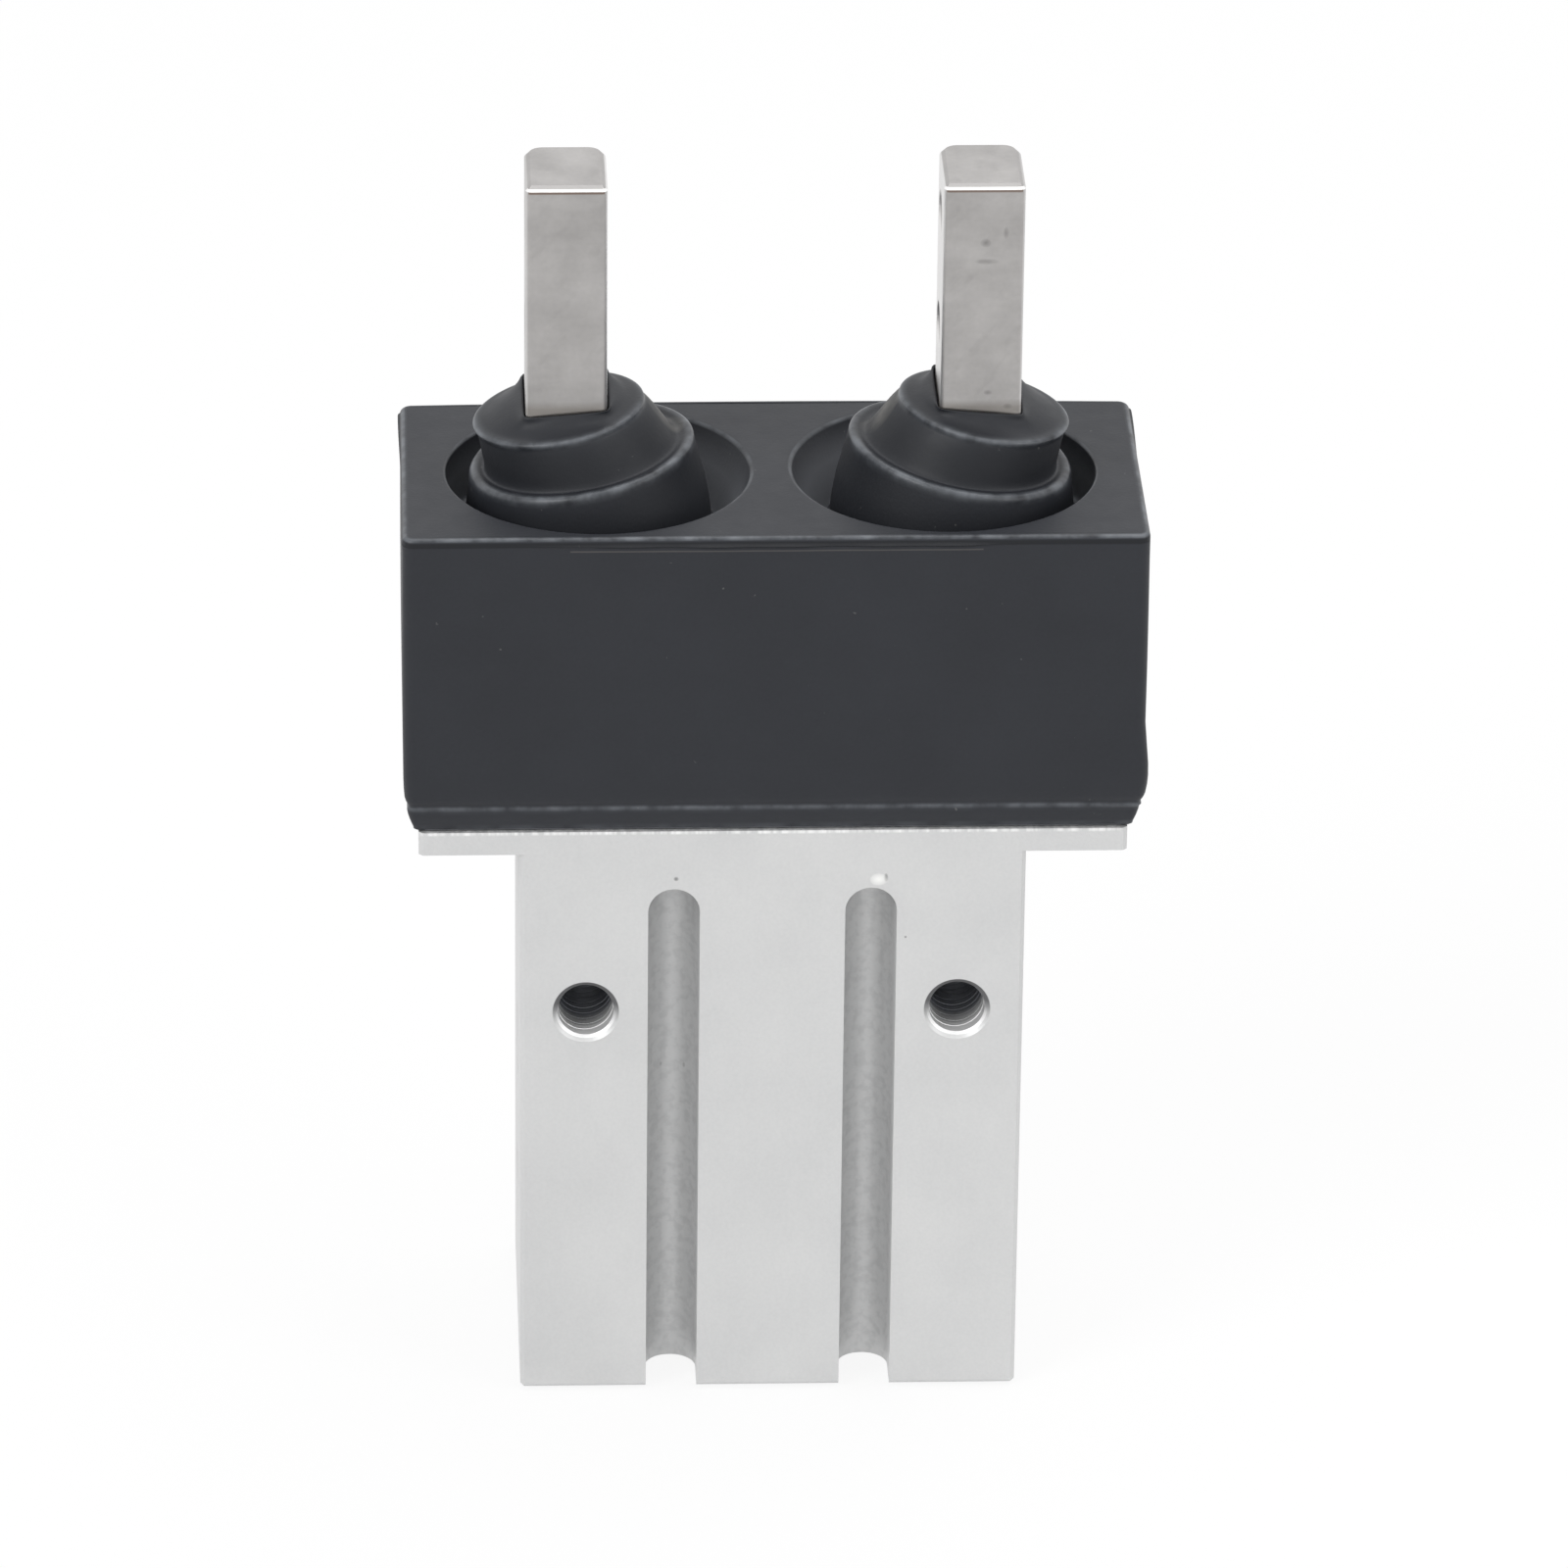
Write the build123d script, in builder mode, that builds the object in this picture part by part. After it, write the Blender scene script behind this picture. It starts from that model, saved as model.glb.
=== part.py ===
from build123d import *
import math
import os

# Two-finger parallel gripper with a rubber dust cover, open, standing on its bottom face.
# Millimetres. X is the way the fingers travel, -Y is the face with the switch grooves, +Z is up
# through the finger tips. The origin is the centre of the bottom face.
# An air piston pulls a rod down, two bell-crank levers turn on fixed shafts, and their upper ends
# push the fingers together along crossed-roller tracks.

# Finger bar and how far each finger travels
finger_travel = 3.0
finger_thickness = 4.87
finger_depth = 6.52
finger_reach = 19.83
finger_corner = 0.35
finger_back_corner = 1.1
finger_tip_chamfer = 0.32
finger_drill = 2.5
finger_hole_chamfer = 0.25
finger_first_hole = 3.2
finger_hole_pitch = 7.2

# Crossed rollers between each finger's carriage and the guide block
track_square = 1.5
roller_play = 0.08
roller_length_play = 0.14
roller_gap = 0.14
roller_end_gap = 0.07
rollers_in_row = 5
stop_pin_diameter = 1.0
stop_pin_inset = 1.0
stop_pin_reach = 0.83

# Carriage at the foot of each finger, with the slot for the lever's lobe
carriage_height = 8.7
carriage_lift = 0.2
carriage_shoulder = 0.8
carriage_meeting_gap = 1.6
track_lift = 4.8
lobe_clearance = 0.15
lobe_slot_depth = 5.2
lobe_slot_side_clearance = 0.2
lobe_top_clearance = 0.4

# Guide block, its screws and its dowels
guide_floor = 1.7
guide_rise = 0.4
guide_edge = 0.4
guide_rim = 0.3
guide_end_margin = 3.3
guide_side_clearance = 0.14
guide_window_clearance = 0.4
screw_diameter = 2.0
screw_head_diameter = 3.8
screw_head_height = 2.0
screw_hex = 1.5
screw_hex_depth = 1.1
screw_length = 16.0
screw_clearance = 0.1
screw_head_inset = 0.2
screw_track_wall = 0.51
screw_end_inset = 7.7
dowel_diameter = 2.0
dowel_length = 5.0
dowel_end_inset = 6.6
pin_end_chamfer = 0.18

# Rubber dust cover
cover_side_wall = 1.42
cover_end_wall = 1.8
cover_top_wall = 1.5
cover_corner = 0.7
cover_edge = 0.3
cover_fit = 0.3
lip_height = 1.65
lip_inset = 0.15
lip_taper = 0.5

# Round wells in the dust cover, wider and shallower towards the middle
well_headroom = 3.7
well_depth = 3.7
well_wall = 1.2
well_rim = 0.82
well_taper = 1.1
well_ledge = 0.8
well_middle_land = 1.2
well_top_lean = 2.0
well_bottom_lean = 1.0

# Bellows: root web, big step, neck and collar that grips the finger
root_fit = 0.06
root_thickness = 0.8
step_root_gap = 0.3
step_taper = 0.13
step_rise = 1.36
step_tilt = 10.5
step_floor_width = 1.08
neck_foot_sink = 0.5
neck_taper = 0.69
collar_lip = 0.12
collar_rise = 4.05
collar_lean = 0.4
collar_tilt = 9.5
collar_flare_height = 0.5
collar_cone_width = 2.15
collar_cone_height = 1.1
bellows_wall = 0.55

# Body block and its top flange
flange_thickness = 1.5
flange_end_inset = 0.9
flange_overhang = 6.1
cover_overhang = 0.47
body_above_shafts = 3.8
body_edge = 0.25

# Switch grooves in the front face, cut with a ball-nosed cutter
groove_spacing = 11.94
groove_width = 3.14
groove_above_shafts = 1.4
groove_wall = 0.415

# Tapped holes through the body, front to back, and in its bottom face
fixing_drill = 3.4
fixing_mouth_chamfer = 0.35
side_hole_inset = 4.0
side_hole_below_shafts = 6.9
bottom_hole_inset = 3.8
bottom_hole_depth = 6.0
locating_pin_diameter = 2.0
locating_pin_depth = 2.5
locating_pin_offset = 6.4
locating_slot_length = 3.0

# Air ports in the left end face
port_drill = 4.2
port_depth = 5.0
port_mouth_chamfer = 0.4
port_above_cap = 3.1
port_pitch = 10.0
air_passage = 1.2

# Cylinder, end cap and retaining ring
bore_diameter = 12.0
cap_seat_step = 0.7
cap_flange_thickness = 3.1
cap_recess_depth = 1.55
cap_spigot_length = 1.8
cap_clearance = 0.05
ring_groove_depth = 0.5
ring_thickness = 0.7
ring_inset = 0.8
ring_width = 1.3
ring_gap_angle = 40.0
ring_lug_radius = 1.15
ring_lug_hole = 0.9
gasket_width = 1.0
gasket_height = 1.0
gasket_edge = 0.25
bumper_diameter = 7.0
bumper_thickness = 0.9
bumper_recess = 0.4
bumper_edge = 0.2

# Piston, its seal and its magnet ring
piston_clearance = 0.06
piston_end_gap = 0.1
piston_top_gap = 0.42
piston_skirt_step = 0.7
piston_skirt_length = 1.8
piston_seal_height = 1.6
piston_seal_width = 1.5
seal_lip_height = 0.53
seal_lip_depth = 0.5
magnet_height = 1.8
magnet_width = 1.6
piston_land = 0.6
seal_gap = 0.02

# Piston rod, rod seal and the pin that both levers hook on
rod_diameter = 5.0
rod_shoulder = 1.0
rod_rivet_lip = 0.7
rod_rivet_thickness = 0.8
rod_running_clearance = 0.04
partition_thickness = 5.5
rod_seal_width = 2.0
rod_seal_height = 2.4
retainer_thickness = 0.7
retainer_clearance = 0.3
centre_pin_diameter = 2.0
rod_head_flat = 0.1
rod_fork_wall = 1.45
rod_head_above_pin = 2.4
rod_head_web = 1.0
rod_head_corner = 0.6
rod_slot_side_clearance = 0.15
rod_slot_floor_clearance = 0.7

# Levers and their fixed shafts
shaft_inset = 5.2
shaft_above_partition = 11.0
shaft_diameter = 2.5
shaft_clearance = 0.03
shaft_groove_wall = 0.61
shaft_back_inset = 0.2
lever_hub_radius = 2.4
lever_thickness = 3.0
lever_lap_gap = 0.1
lever_lobe_radius = 1.5
lever_neck_radius = 0.8
lever_root_radius = 1.6
lever_tine_radius = 2.3
lever_tine_reach = 1.7
lever_pin_clearance = 0.25
lever_lap_start = 3.3

# Hollow in the body for the levers and the rod head
chamber_side_clearance = 0.3
chamber_end_clearance = 0.8
chamber_floor_clearance = 0.3
chamber_corner = 1.0
rod_head_clearance = 0.45
rod_head_side_clearance = 0.2

# Depths, from the finger outwards: channel, tracks, screws, guide block, cover, body
channel_half = finger_depth / 2 + guide_side_clearance
track_y = (finger_depth / 2 + channel_half) / 2
track_half_diagonal = track_square / math.sqrt(2)
screw_hole_radius = screw_diameter / 2 + screw_clearance
screw_head_hole_radius = screw_head_diameter / 2 + screw_clearance
screw_spacing_y = 2 * (track_y + track_half_diagonal + screw_track_wall + screw_hole_radius)
guide_depth = screw_spacing_y + 2 * (screw_head_hole_radius + guide_rim)
cover_depth = guide_depth + 2 * (cover_fit + cover_side_wall)
body_depth = cover_depth - 2 * cover_overhang

# Radii of the wells and of the bellows that stand in them
well_radius_top = cover_depth / 2 - well_rim
well_radius_bottom = well_radius_top - well_taper
well_hole_radius = well_radius_bottom - well_ledge
step_root_radius = well_hole_radius - step_root_gap
step_radius = step_root_radius - step_taper
neck_foot_radius = step_radius - step_floor_width
neck_top_radius = neck_foot_radius - neck_taper
collar_radius = neck_top_radius + collar_lip
collar_cone_radius = collar_radius - collar_cone_width

# Lengths along the travel, from the wells to the fingers, carriages, guide block and body
well_x_top = well_radius_top + well_middle_land
finger_x = well_x_top + well_top_lean
well_x_bottom = finger_x - well_bottom_lean
collar_x = finger_x + collar_lean
shaft_x = finger_x - shaft_inset
lobe_x = shaft_x + finger_travel / 2
roller_diameter = track_square - roller_play
roller_pitch = roller_diameter + roller_gap
row_length = rollers_in_row * roller_pitch - roller_gap
stop_spacing = row_length + 2 * roller_end_gap + finger_travel / 2 + stop_pin_diameter
carriage_length = stop_spacing + 2 * stop_pin_inset
carriage_inner_x = finger_travel + carriage_meeting_gap
carriage_centre = carriage_inner_x + carriage_length / 2
guide_length = 2 * (carriage_inner_x + carriage_length + guide_end_margin)
screw_spacing_x = guide_length - 2 * screw_end_inset
dowel_spacing = guide_length - 2 * dowel_end_inset
cover_length = guide_length + 2 * (cover_fit + cover_end_wall)
flange_width = cover_length - 2 * flange_end_inset
body_width = flange_width - 2 * flange_overhang
side_hole_x = body_width / 2 - side_hole_inset
bottom_hole_x = body_width / 2 - bottom_hole_inset

# Swing of a lever, half of it each way from mid-travel, and the piston stroke that it needs
above_shafts_to_slot = body_above_shafts + flange_thickness + guide_floor + carriage_lift
lever_arm_up = above_shafts_to_slot + lobe_slot_depth - lobe_top_clearance - lever_lobe_radius
half_swing = math.degrees(math.asin(finger_travel / 2 / lever_arm_up))
swing_sine = math.sin(math.radians(half_swing))
swing_cosine = math.cos(math.radians(half_swing))
piston_stroke = 2 * shaft_x * swing_sine / swing_cosine

# Cylinder and rod, from the bottom face up
cap_seat_radius = bore_diameter / 2 + cap_seat_step
ring_outer = cap_seat_radius + ring_groove_depth - cap_clearance
cap_bottom = ring_inset + ring_thickness
bore_bottom = cap_bottom + cap_flange_thickness
cap_top = bore_bottom + cap_spigot_length
bumper_top = cap_top - bumper_recess + bumper_thickness
piston_radius = bore_diameter / 2 - piston_clearance
piston_bottom = bumper_top + piston_end_gap + piston_stroke
seal_bottom = piston_bottom + piston_skirt_length + piston_land
magnet_bottom = seal_bottom + piston_seal_height + piston_land
piston_top = magnet_bottom + magnet_height + piston_land
partition_bottom = piston_top + piston_top_gap
partition_top = partition_bottom + partition_thickness
rod_radius = rod_diameter / 2
rod_spigot_radius = rod_radius - rod_shoulder
rod_rivet_radius = rod_spigot_radius + rod_rivet_lip
rod_seal_radius = rod_radius + rod_seal_width
lower_port_height = cap_top + port_above_cap
upper_port_height = lower_port_height + port_pitch

# Shafts, rod head and the chamber round them
shaft_height = partition_top + shaft_above_partition
pin_height = shaft_height + piston_stroke / 2
rod_head_width = rod_diameter - 2 * rod_head_flat
rod_slot_width = lever_thickness + 2 * rod_slot_side_clearance
rod_head_depth = rod_slot_width + 2 * rod_fork_wall
rod_slot_floor = pin_height - lever_tine_radius - rod_slot_floor_clearance
rod_head_bottom = rod_slot_floor - rod_head_web
rod_head_top = pin_height + rod_head_above_pin
rod_well_width = rod_head_width + 2 * rod_head_clearance
chamber_length = 2 * (shaft_x + lever_hub_radius + chamber_end_clearance)
chamber_depth = rod_head_depth + 2 * rod_head_side_clearance
lever_hub_length = chamber_depth - 2 * chamber_side_clearance
tine_drop = lever_tine_radius + (shaft_x - rod_well_width / 2) * swing_sine
chamber_floor = shaft_height - tine_drop - chamber_floor_clearance

# Body, guide block, carriages and cover, from the shafts up
side_hole_height = shaft_height - side_hole_below_shafts
groove_end_height = shaft_height + groove_above_shafts
body_height = shaft_height + body_above_shafts
flange_top = body_height + flange_thickness
guide_floor_top = flange_top + guide_floor
carriage_bottom = guide_floor_top + carriage_lift
carriage_top = carriage_bottom + carriage_height
track_height = carriage_bottom + track_lift
guide_top = carriage_top + guide_rise
guide_height = guide_top - flange_top
well_floor = guide_top + well_headroom + well_wall
cover_top = well_floor + well_depth
step_height = cover_top + step_rise
collar_height = cover_top + collar_rise
finger_top = cover_top + finger_reach

# The grooves reach in until they leave a wall to the retaining ring's groove
groove_radius = groove_width / 2
groove_axis_distance = cap_seat_radius + ring_groove_depth + groove_wall + groove_radius
groove_axis_y = -math.sqrt(groove_axis_distance**2 - (groove_spacing / 2) ** 2)
shaft_front_reach = -groove_axis_y - groove_radius - shaft_groove_wall
groove_axis_top = groove_end_height - groove_radius

# Planes of the outer faces, each with local y upwards, except the bottom face
front_face = Plane(origin=(0, -body_depth / 2, 0), x_dir=(1, 0, 0), z_dir=(0, -1, 0))
back_face = Plane(origin=(0, body_depth / 2, 0), x_dir=(-1, 0, 0), z_dir=(0, 1, 0))
left_face = Plane(origin=(-body_width / 2, 0, 0), x_dir=(0, -1, 0), z_dir=(-1, 0, 0))
bottom_face = Plane(origin=(0, 0, 0), x_dir=(1, 0, 0), z_dir=(0, 0, -1))

os.makedirs("parts", exist_ok=True)


def tilted_ring_plane(side, distance, height, tilt):
    """Plane across a finger's bellows whose inner side stands higher by the tilt angle."""
    lean = math.radians(tilt)
    return Plane(
        origin=(side * distance, 0, height),
        x_dir=(math.cos(lean), 0, -side * math.sin(lean)),
        z_dir=(side * math.sin(lean), 0, math.cos(lean)),
    )


def level_ring_plane(side, distance, height):
    """Level plane centred on one finger's well or bellows."""
    return Plane(origin=(side * distance, 0, height))


# Body: T-shaped block with its cylinder, lever chamber, grooves, ports and fixing holes
with BuildPart() as body:
    with BuildSketch():
        Rectangle(body_width, body_depth)
    extrude(amount=body_height)
    with BuildSketch(Plane.XY.offset(body_height)):
        Rectangle(flange_width, body_depth)
    extrude(amount=flange_thickness)
    outline = body.edges().filter_by(Axis.Z) + body.edges().group_by(Axis.Z)[0]
    chamfer(outline, body_edge)

    # Cylinder from below: ring groove, cap seat, bore, rod seal pocket and rod hole
    with Locations((0, 0, 0)):
        Cylinder(
            cap_seat_radius, bore_bottom,
            align=(Align.CENTER, Align.CENTER, Align.MIN), mode=Mode.SUBTRACT,
        )
        Cylinder(
            bore_diameter / 2, partition_bottom,
            align=(Align.CENTER, Align.CENTER, Align.MIN), mode=Mode.SUBTRACT,
        )
        Cylinder(
            rod_seal_radius, partition_bottom + retainer_thickness + rod_seal_height,
            align=(Align.CENTER, Align.CENTER, Align.MIN), mode=Mode.SUBTRACT,
        )
        Cylinder(
            rod_radius + rod_running_clearance, partition_top,
            align=(Align.CENTER, Align.CENTER, Align.MIN), mode=Mode.SUBTRACT,
        )
    with BuildSketch(Plane.XY.offset(ring_inset)):
        Circle(cap_seat_radius + ring_groove_depth)
    extrude(amount=ring_thickness, mode=Mode.SUBTRACT)

    # Chamber for the levers above the rod head's well
    with BuildSketch(Plane.XY.offset(partition_top)):
        RectangleRounded(rod_well_width, chamber_depth, chamber_corner)
    extrude(amount=flange_top - partition_top, mode=Mode.SUBTRACT)
    with BuildSketch(Plane.XY.offset(chamber_floor)):
        RectangleRounded(chamber_length, chamber_depth, chamber_corner)
    extrude(amount=flange_top - chamber_floor, mode=Mode.SUBTRACT)

    # Switch grooves, round in section and at their upper end
    with BuildSketch():
        with Locations((-groove_spacing / 2, groove_axis_y), (groove_spacing / 2, groove_axis_y)):
            Circle(groove_radius)
            Rectangle(groove_width, body_depth, align=(Align.CENTER, Align.MAX))
    extrude(amount=groove_axis_top, mode=Mode.SUBTRACT)
    with Locations(
        (-groove_spacing / 2, groove_axis_y, groove_axis_top),
        (groove_spacing / 2, groove_axis_y, groove_axis_top),
    ):
        Sphere(groove_radius, mode=Mode.SUBTRACT)
    with BuildSketch(Plane.XZ.offset(-groove_axis_y)):
        with Locations(
            (-groove_spacing / 2, groove_axis_top), (groove_spacing / 2, groove_axis_top),
        ):
            Circle(groove_radius)
    extrude(amount=body_depth / 2 + groove_axis_y, mode=Mode.SUBTRACT)

    # Fixing holes from front to back, with a chamfer at both mouths
    for face in (front_face, back_face):
        with Locations(face):
            with Locations((-side_hole_x, side_hole_height), (side_hole_x, side_hole_height)):
                CounterSinkHole(
                    fixing_drill / 2, fixing_drill / 2 + fixing_mouth_chamfer,
                    counter_sink_angle=90,
                )

    # Bottom face: two tapped holes, one locating hole and one locating slot
    with Locations(bottom_face):
        with Locations((-bottom_hole_x, 0), (bottom_hole_x, 0)):
            CounterSinkHole(
                fixing_drill / 2, fixing_drill / 2 + fixing_mouth_chamfer,
                depth=bottom_hole_depth, counter_sink_angle=90,
            )
    with BuildSketch():
        with Locations((-bottom_hole_x, locating_pin_offset)):
            Circle(locating_pin_diameter / 2)
        with Locations((bottom_hole_x, locating_pin_offset)):
            SlotOverall(locating_slot_length, locating_pin_diameter)
    extrude(amount=locating_pin_depth, mode=Mode.SUBTRACT)

    # Air ports and the passages that lead from them into the two ends of the cylinder
    with Locations(left_face):
        with Locations((0, lower_port_height), (0, upper_port_height)):
            CounterSinkHole(
                port_drill / 2, port_drill / 2 + port_mouth_chamfer,
                depth=port_depth, counter_sink_angle=90,
            )
    port_end_x = -body_width / 2 + port_depth
    passage_end_x = -bore_diameter / 2 + air_passage / 2
    for port_height, passage_height in (
        (lower_port_height, cap_top + air_passage / 2),
        (upper_port_height, partition_bottom - air_passage / 2),
    ):
        passage = Line(
            (port_end_x, 0, port_height), (passage_end_x, 0, passage_height), mode=Mode.PRIVATE,
        )
        with BuildSketch(Plane(origin=passage @ 0, z_dir=passage % 0)):
            Circle(air_passage / 2)
        extrude(amount=passage.length, mode=Mode.SUBTRACT)

    # Lever shaft holes, drilled from the back face and blind at the front
    with BuildSketch(Plane.XZ.offset(shaft_front_reach)):
        with Locations((-shaft_x, shaft_height), (shaft_x, shaft_height)):
            Circle(shaft_diameter / 2)
    extrude(amount=-shaft_front_reach - body_depth / 2, mode=Mode.SUBTRACT)

    # Tapped holes for the guide screws and reamed holes for the dowels
    with BuildSketch(Plane.XY.offset(flange_top)):
        with GridLocations(screw_spacing_x, screw_spacing_y, 2, 2):
            Circle(screw_diameter / 2)
    screw_depth = screw_length - (guide_height - screw_head_height - screw_head_inset)
    extrude(amount=-screw_depth, mode=Mode.SUBTRACT)
    with BuildSketch(Plane.XY.offset(flange_top)):
        with GridLocations(dowel_spacing, 1, 2, 1):
            Circle(dowel_diameter / 2)
    extrude(amount=guide_floor - dowel_length, mode=Mode.SUBTRACT)
body.part.label = "body"
export_step(body.part, "parts/body.step")

# End cap: flange in the cap seat, spigot in the bore with a gasket groove, bumper recess on top
with BuildPart() as end_cap:
    with BuildSketch(Plane.XY.offset(cap_bottom)):
        Circle(cap_seat_radius - cap_clearance)
    extrude(amount=cap_flange_thickness)
    with BuildSketch(Plane.XY.offset(bore_bottom)):
        Circle(bore_diameter / 2 - cap_clearance)
    extrude(amount=cap_spigot_length)
    gasket_bottom = bore_bottom + (cap_spigot_length - gasket_height) / 2
    with BuildSketch(Plane.XY.offset(gasket_bottom)):
        Circle(bore_diameter / 2)
        Circle(bore_diameter / 2 - gasket_width, mode=Mode.SUBTRACT)
    extrude(amount=gasket_height, mode=Mode.SUBTRACT)
    with BuildSketch(Plane.XY.offset(cap_top)):
        Circle(bumper_diameter / 2)
    extrude(amount=-bumper_recess, mode=Mode.SUBTRACT)
    with BuildSketch(Plane.XY.offset(cap_bottom)):
        Circle(bumper_diameter / 2)
    extrude(amount=cap_recess_depth, mode=Mode.SUBTRACT)
end_cap.part.label = "end_cap"
export_step(end_cap.part, "parts/end_cap.step")

# Gasket of the end cap
with BuildPart() as cap_gasket:
    with BuildSketch(Plane.XY.offset(gasket_bottom)):
        Circle(bore_diameter / 2 - seal_gap)
        Circle(bore_diameter / 2 - gasket_width, mode=Mode.SUBTRACT)
    extrude(amount=gasket_height)
    chamfer(cap_gasket.edges().filter_by(GeomType.CIRCLE).group_by(SortBy.RADIUS)[-1], gasket_edge)
cap_gasket.part.label = "cap_gasket"
export_step(cap_gasket.part, "parts/cap_gasket.step")

# Internal retaining ring: open ring with two pierced lugs
with BuildPart() as retaining_ring:
    lug_angle = -90 + ring_gap_angle / 2
    lug_centre_radius = ring_outer - ring_width
    with BuildSketch(Plane.XY.offset(ring_inset)):
        Circle(ring_outer)
        Circle(ring_outer - ring_width, mode=Mode.SUBTRACT)
        gap_half = math.radians(ring_gap_angle / 2)
        Polygon(
            (0, 0),
            (-2 * ring_outer * math.sin(gap_half), -2 * ring_outer * math.cos(gap_half)),
            (2 * ring_outer * math.sin(gap_half), -2 * ring_outer * math.cos(gap_half)),
            align=None, mode=Mode.SUBTRACT,
        )
        with PolarLocations(lug_centre_radius, 2, lug_angle, -ring_gap_angle, endpoint=True):
            Circle(ring_lug_radius)
        with PolarLocations(lug_centre_radius, 2, lug_angle, -ring_gap_angle, endpoint=True):
            Circle(ring_lug_hole / 2, mode=Mode.SUBTRACT)
    extrude(amount=ring_thickness)
retaining_ring.part.label = "retaining_ring"
export_step(retaining_ring.part, "parts/retaining_ring.step")

# Rubber bumper that the piston lands on
with BuildPart() as bumper:
    with BuildSketch(Plane.XY.offset(cap_top - bumper_recess)):
        Circle(bumper_diameter / 2)
    extrude(amount=bumper_thickness)
    chamfer(bumper.edges().sort_by(Axis.Z)[-1], bumper_edge)
bumper.part.label = "bumper"
export_step(bumper.part, "parts/bumper.step")

# Piston: turned in one, with a stepped skirt, a seal groove and a magnet groove
with BuildPart() as piston:
    with BuildSketch(Plane.XZ):
        with BuildLine():
            Polyline(
                (0, piston_bottom),
                (piston_radius - piston_skirt_step, piston_bottom),
                (piston_radius - piston_skirt_step, piston_bottom + piston_skirt_length),
                (piston_radius, piston_bottom + piston_skirt_length),
                (piston_radius, seal_bottom),
                (piston_radius - piston_seal_width, seal_bottom),
                (piston_radius - piston_seal_width, seal_bottom + piston_seal_height),
                (piston_radius, seal_bottom + piston_seal_height),
                (piston_radius, magnet_bottom),
                (piston_radius - magnet_width, magnet_bottom),
                (piston_radius - magnet_width, magnet_bottom + magnet_height),
                (piston_radius, magnet_bottom + magnet_height),
                (piston_radius, piston_top),
                (0, piston_top),
                close=True,
            )
        make_face()
    revolve(axis=Axis.Z)
    with Locations((0, 0, piston_top)):
        Hole(rod_spigot_radius)
    with BuildSketch(Plane.XY.offset(piston_bottom)):
        Circle(rod_rivet_radius)
    extrude(amount=rod_rivet_thickness, mode=Mode.SUBTRACT)
piston.part.label = "piston"
export_step(piston.part, "parts/piston.step")

# Piston seal with two lips
with BuildPart() as piston_seal:
    with BuildSketch(Plane.XY.offset(seal_bottom)):
        Circle(bore_diameter / 2 - seal_gap)
        Circle(piston_radius - piston_seal_width, mode=Mode.SUBTRACT)
    extrude(amount=piston_seal_height)
    with BuildSketch(Plane.XY.offset(seal_bottom + seal_lip_height)):
        Circle(bore_diameter / 2)
        Circle(bore_diameter / 2 - seal_lip_depth, mode=Mode.SUBTRACT)
    extrude(amount=piston_seal_height - 2 * seal_lip_height, mode=Mode.SUBTRACT)
piston_seal.part.label = "piston_seal"
export_step(piston_seal.part, "parts/piston_seal.step")

# Magnet ring that the position switches sense
with BuildPart() as magnet_ring:
    with BuildSketch(Plane.XY.offset(magnet_bottom)):
        Circle(piston_radius - seal_gap)
        Circle(piston_radius - magnet_width, mode=Mode.SUBTRACT)
    extrude(amount=magnet_height)
magnet_ring.part.label = "magnet_ring"
export_step(magnet_ring.part, "parts/magnet_ring.step")

# Piston rod: riveted spigot below, slotted head above for the two lever ends
with BuildPart() as piston_rod:
    with BuildSketch(Plane.XY.offset(piston_bottom)):
        Circle(rod_rivet_radius)
    extrude(amount=rod_rivet_thickness)
    with BuildSketch(Plane.XY.offset(piston_bottom)):
        Circle(rod_spigot_radius)
    extrude(amount=piston_top - piston_bottom)
    with BuildSketch(Plane.XY.offset(piston_top)):
        Circle(rod_radius)
    extrude(amount=rod_head_bottom - piston_top)
    with BuildSketch(Plane.XY.offset(rod_head_bottom)):
        RectangleRounded(rod_head_width, rod_head_depth, rod_head_corner)
    extrude(amount=rod_head_top - rod_head_bottom)
    with BuildSketch(Plane.YZ):
        with Locations((0, rod_slot_floor)):
            Rectangle(
                rod_slot_width, rod_head_top - rod_slot_floor, align=(Align.CENTER, Align.MIN),
            )
    extrude(amount=rod_head_width, both=True, mode=Mode.SUBTRACT)
    with BuildSketch(Plane.XZ):
        with Locations((0, pin_height)):
            Circle(centre_pin_diameter / 2)
    extrude(amount=rod_head_depth, both=True, mode=Mode.SUBTRACT)
piston_rod.part.label = "piston_rod"
export_step(piston_rod.part, "parts/piston_rod.step")

# Pin across the rod head
with BuildPart() as centre_pin:
    with BuildSketch(Plane.XZ):
        with Locations((0, pin_height)):
            Circle(centre_pin_diameter / 2)
    extrude(amount=rod_head_depth / 2, both=True)
    chamfer(centre_pin.edges().filter_by(GeomType.CIRCLE), pin_end_chamfer)
centre_pin.part.label = "centre_pin"
export_step(centre_pin.part, "parts/centre_pin.step")

# Rod seal in its pocket, cupped towards the cylinder, and the washer that holds it in
with BuildPart() as rod_seal:
    rod_seal_bottom = partition_bottom + retainer_thickness
    seal_inner = rod_radius + rod_running_clearance
    seal_middle = (seal_inner + rod_seal_radius) / 2
    with BuildSketch(Plane.XY.offset(rod_seal_bottom)):
        Circle(rod_seal_radius)
        Circle(seal_inner, mode=Mode.SUBTRACT)
    extrude(amount=rod_seal_height)
    with BuildSketch(Plane.XZ):
        with Locations((seal_middle, rod_seal_bottom)):
            Triangle(
                a=rod_seal_radius - seal_middle, b=rod_seal_height / 2, c=rod_seal_height / 2,
                align=(Align.CENTER, Align.MIN),
            )
    revolve(axis=Axis.Z, mode=Mode.SUBTRACT)
rod_seal.part.label = "rod_seal"
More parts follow.
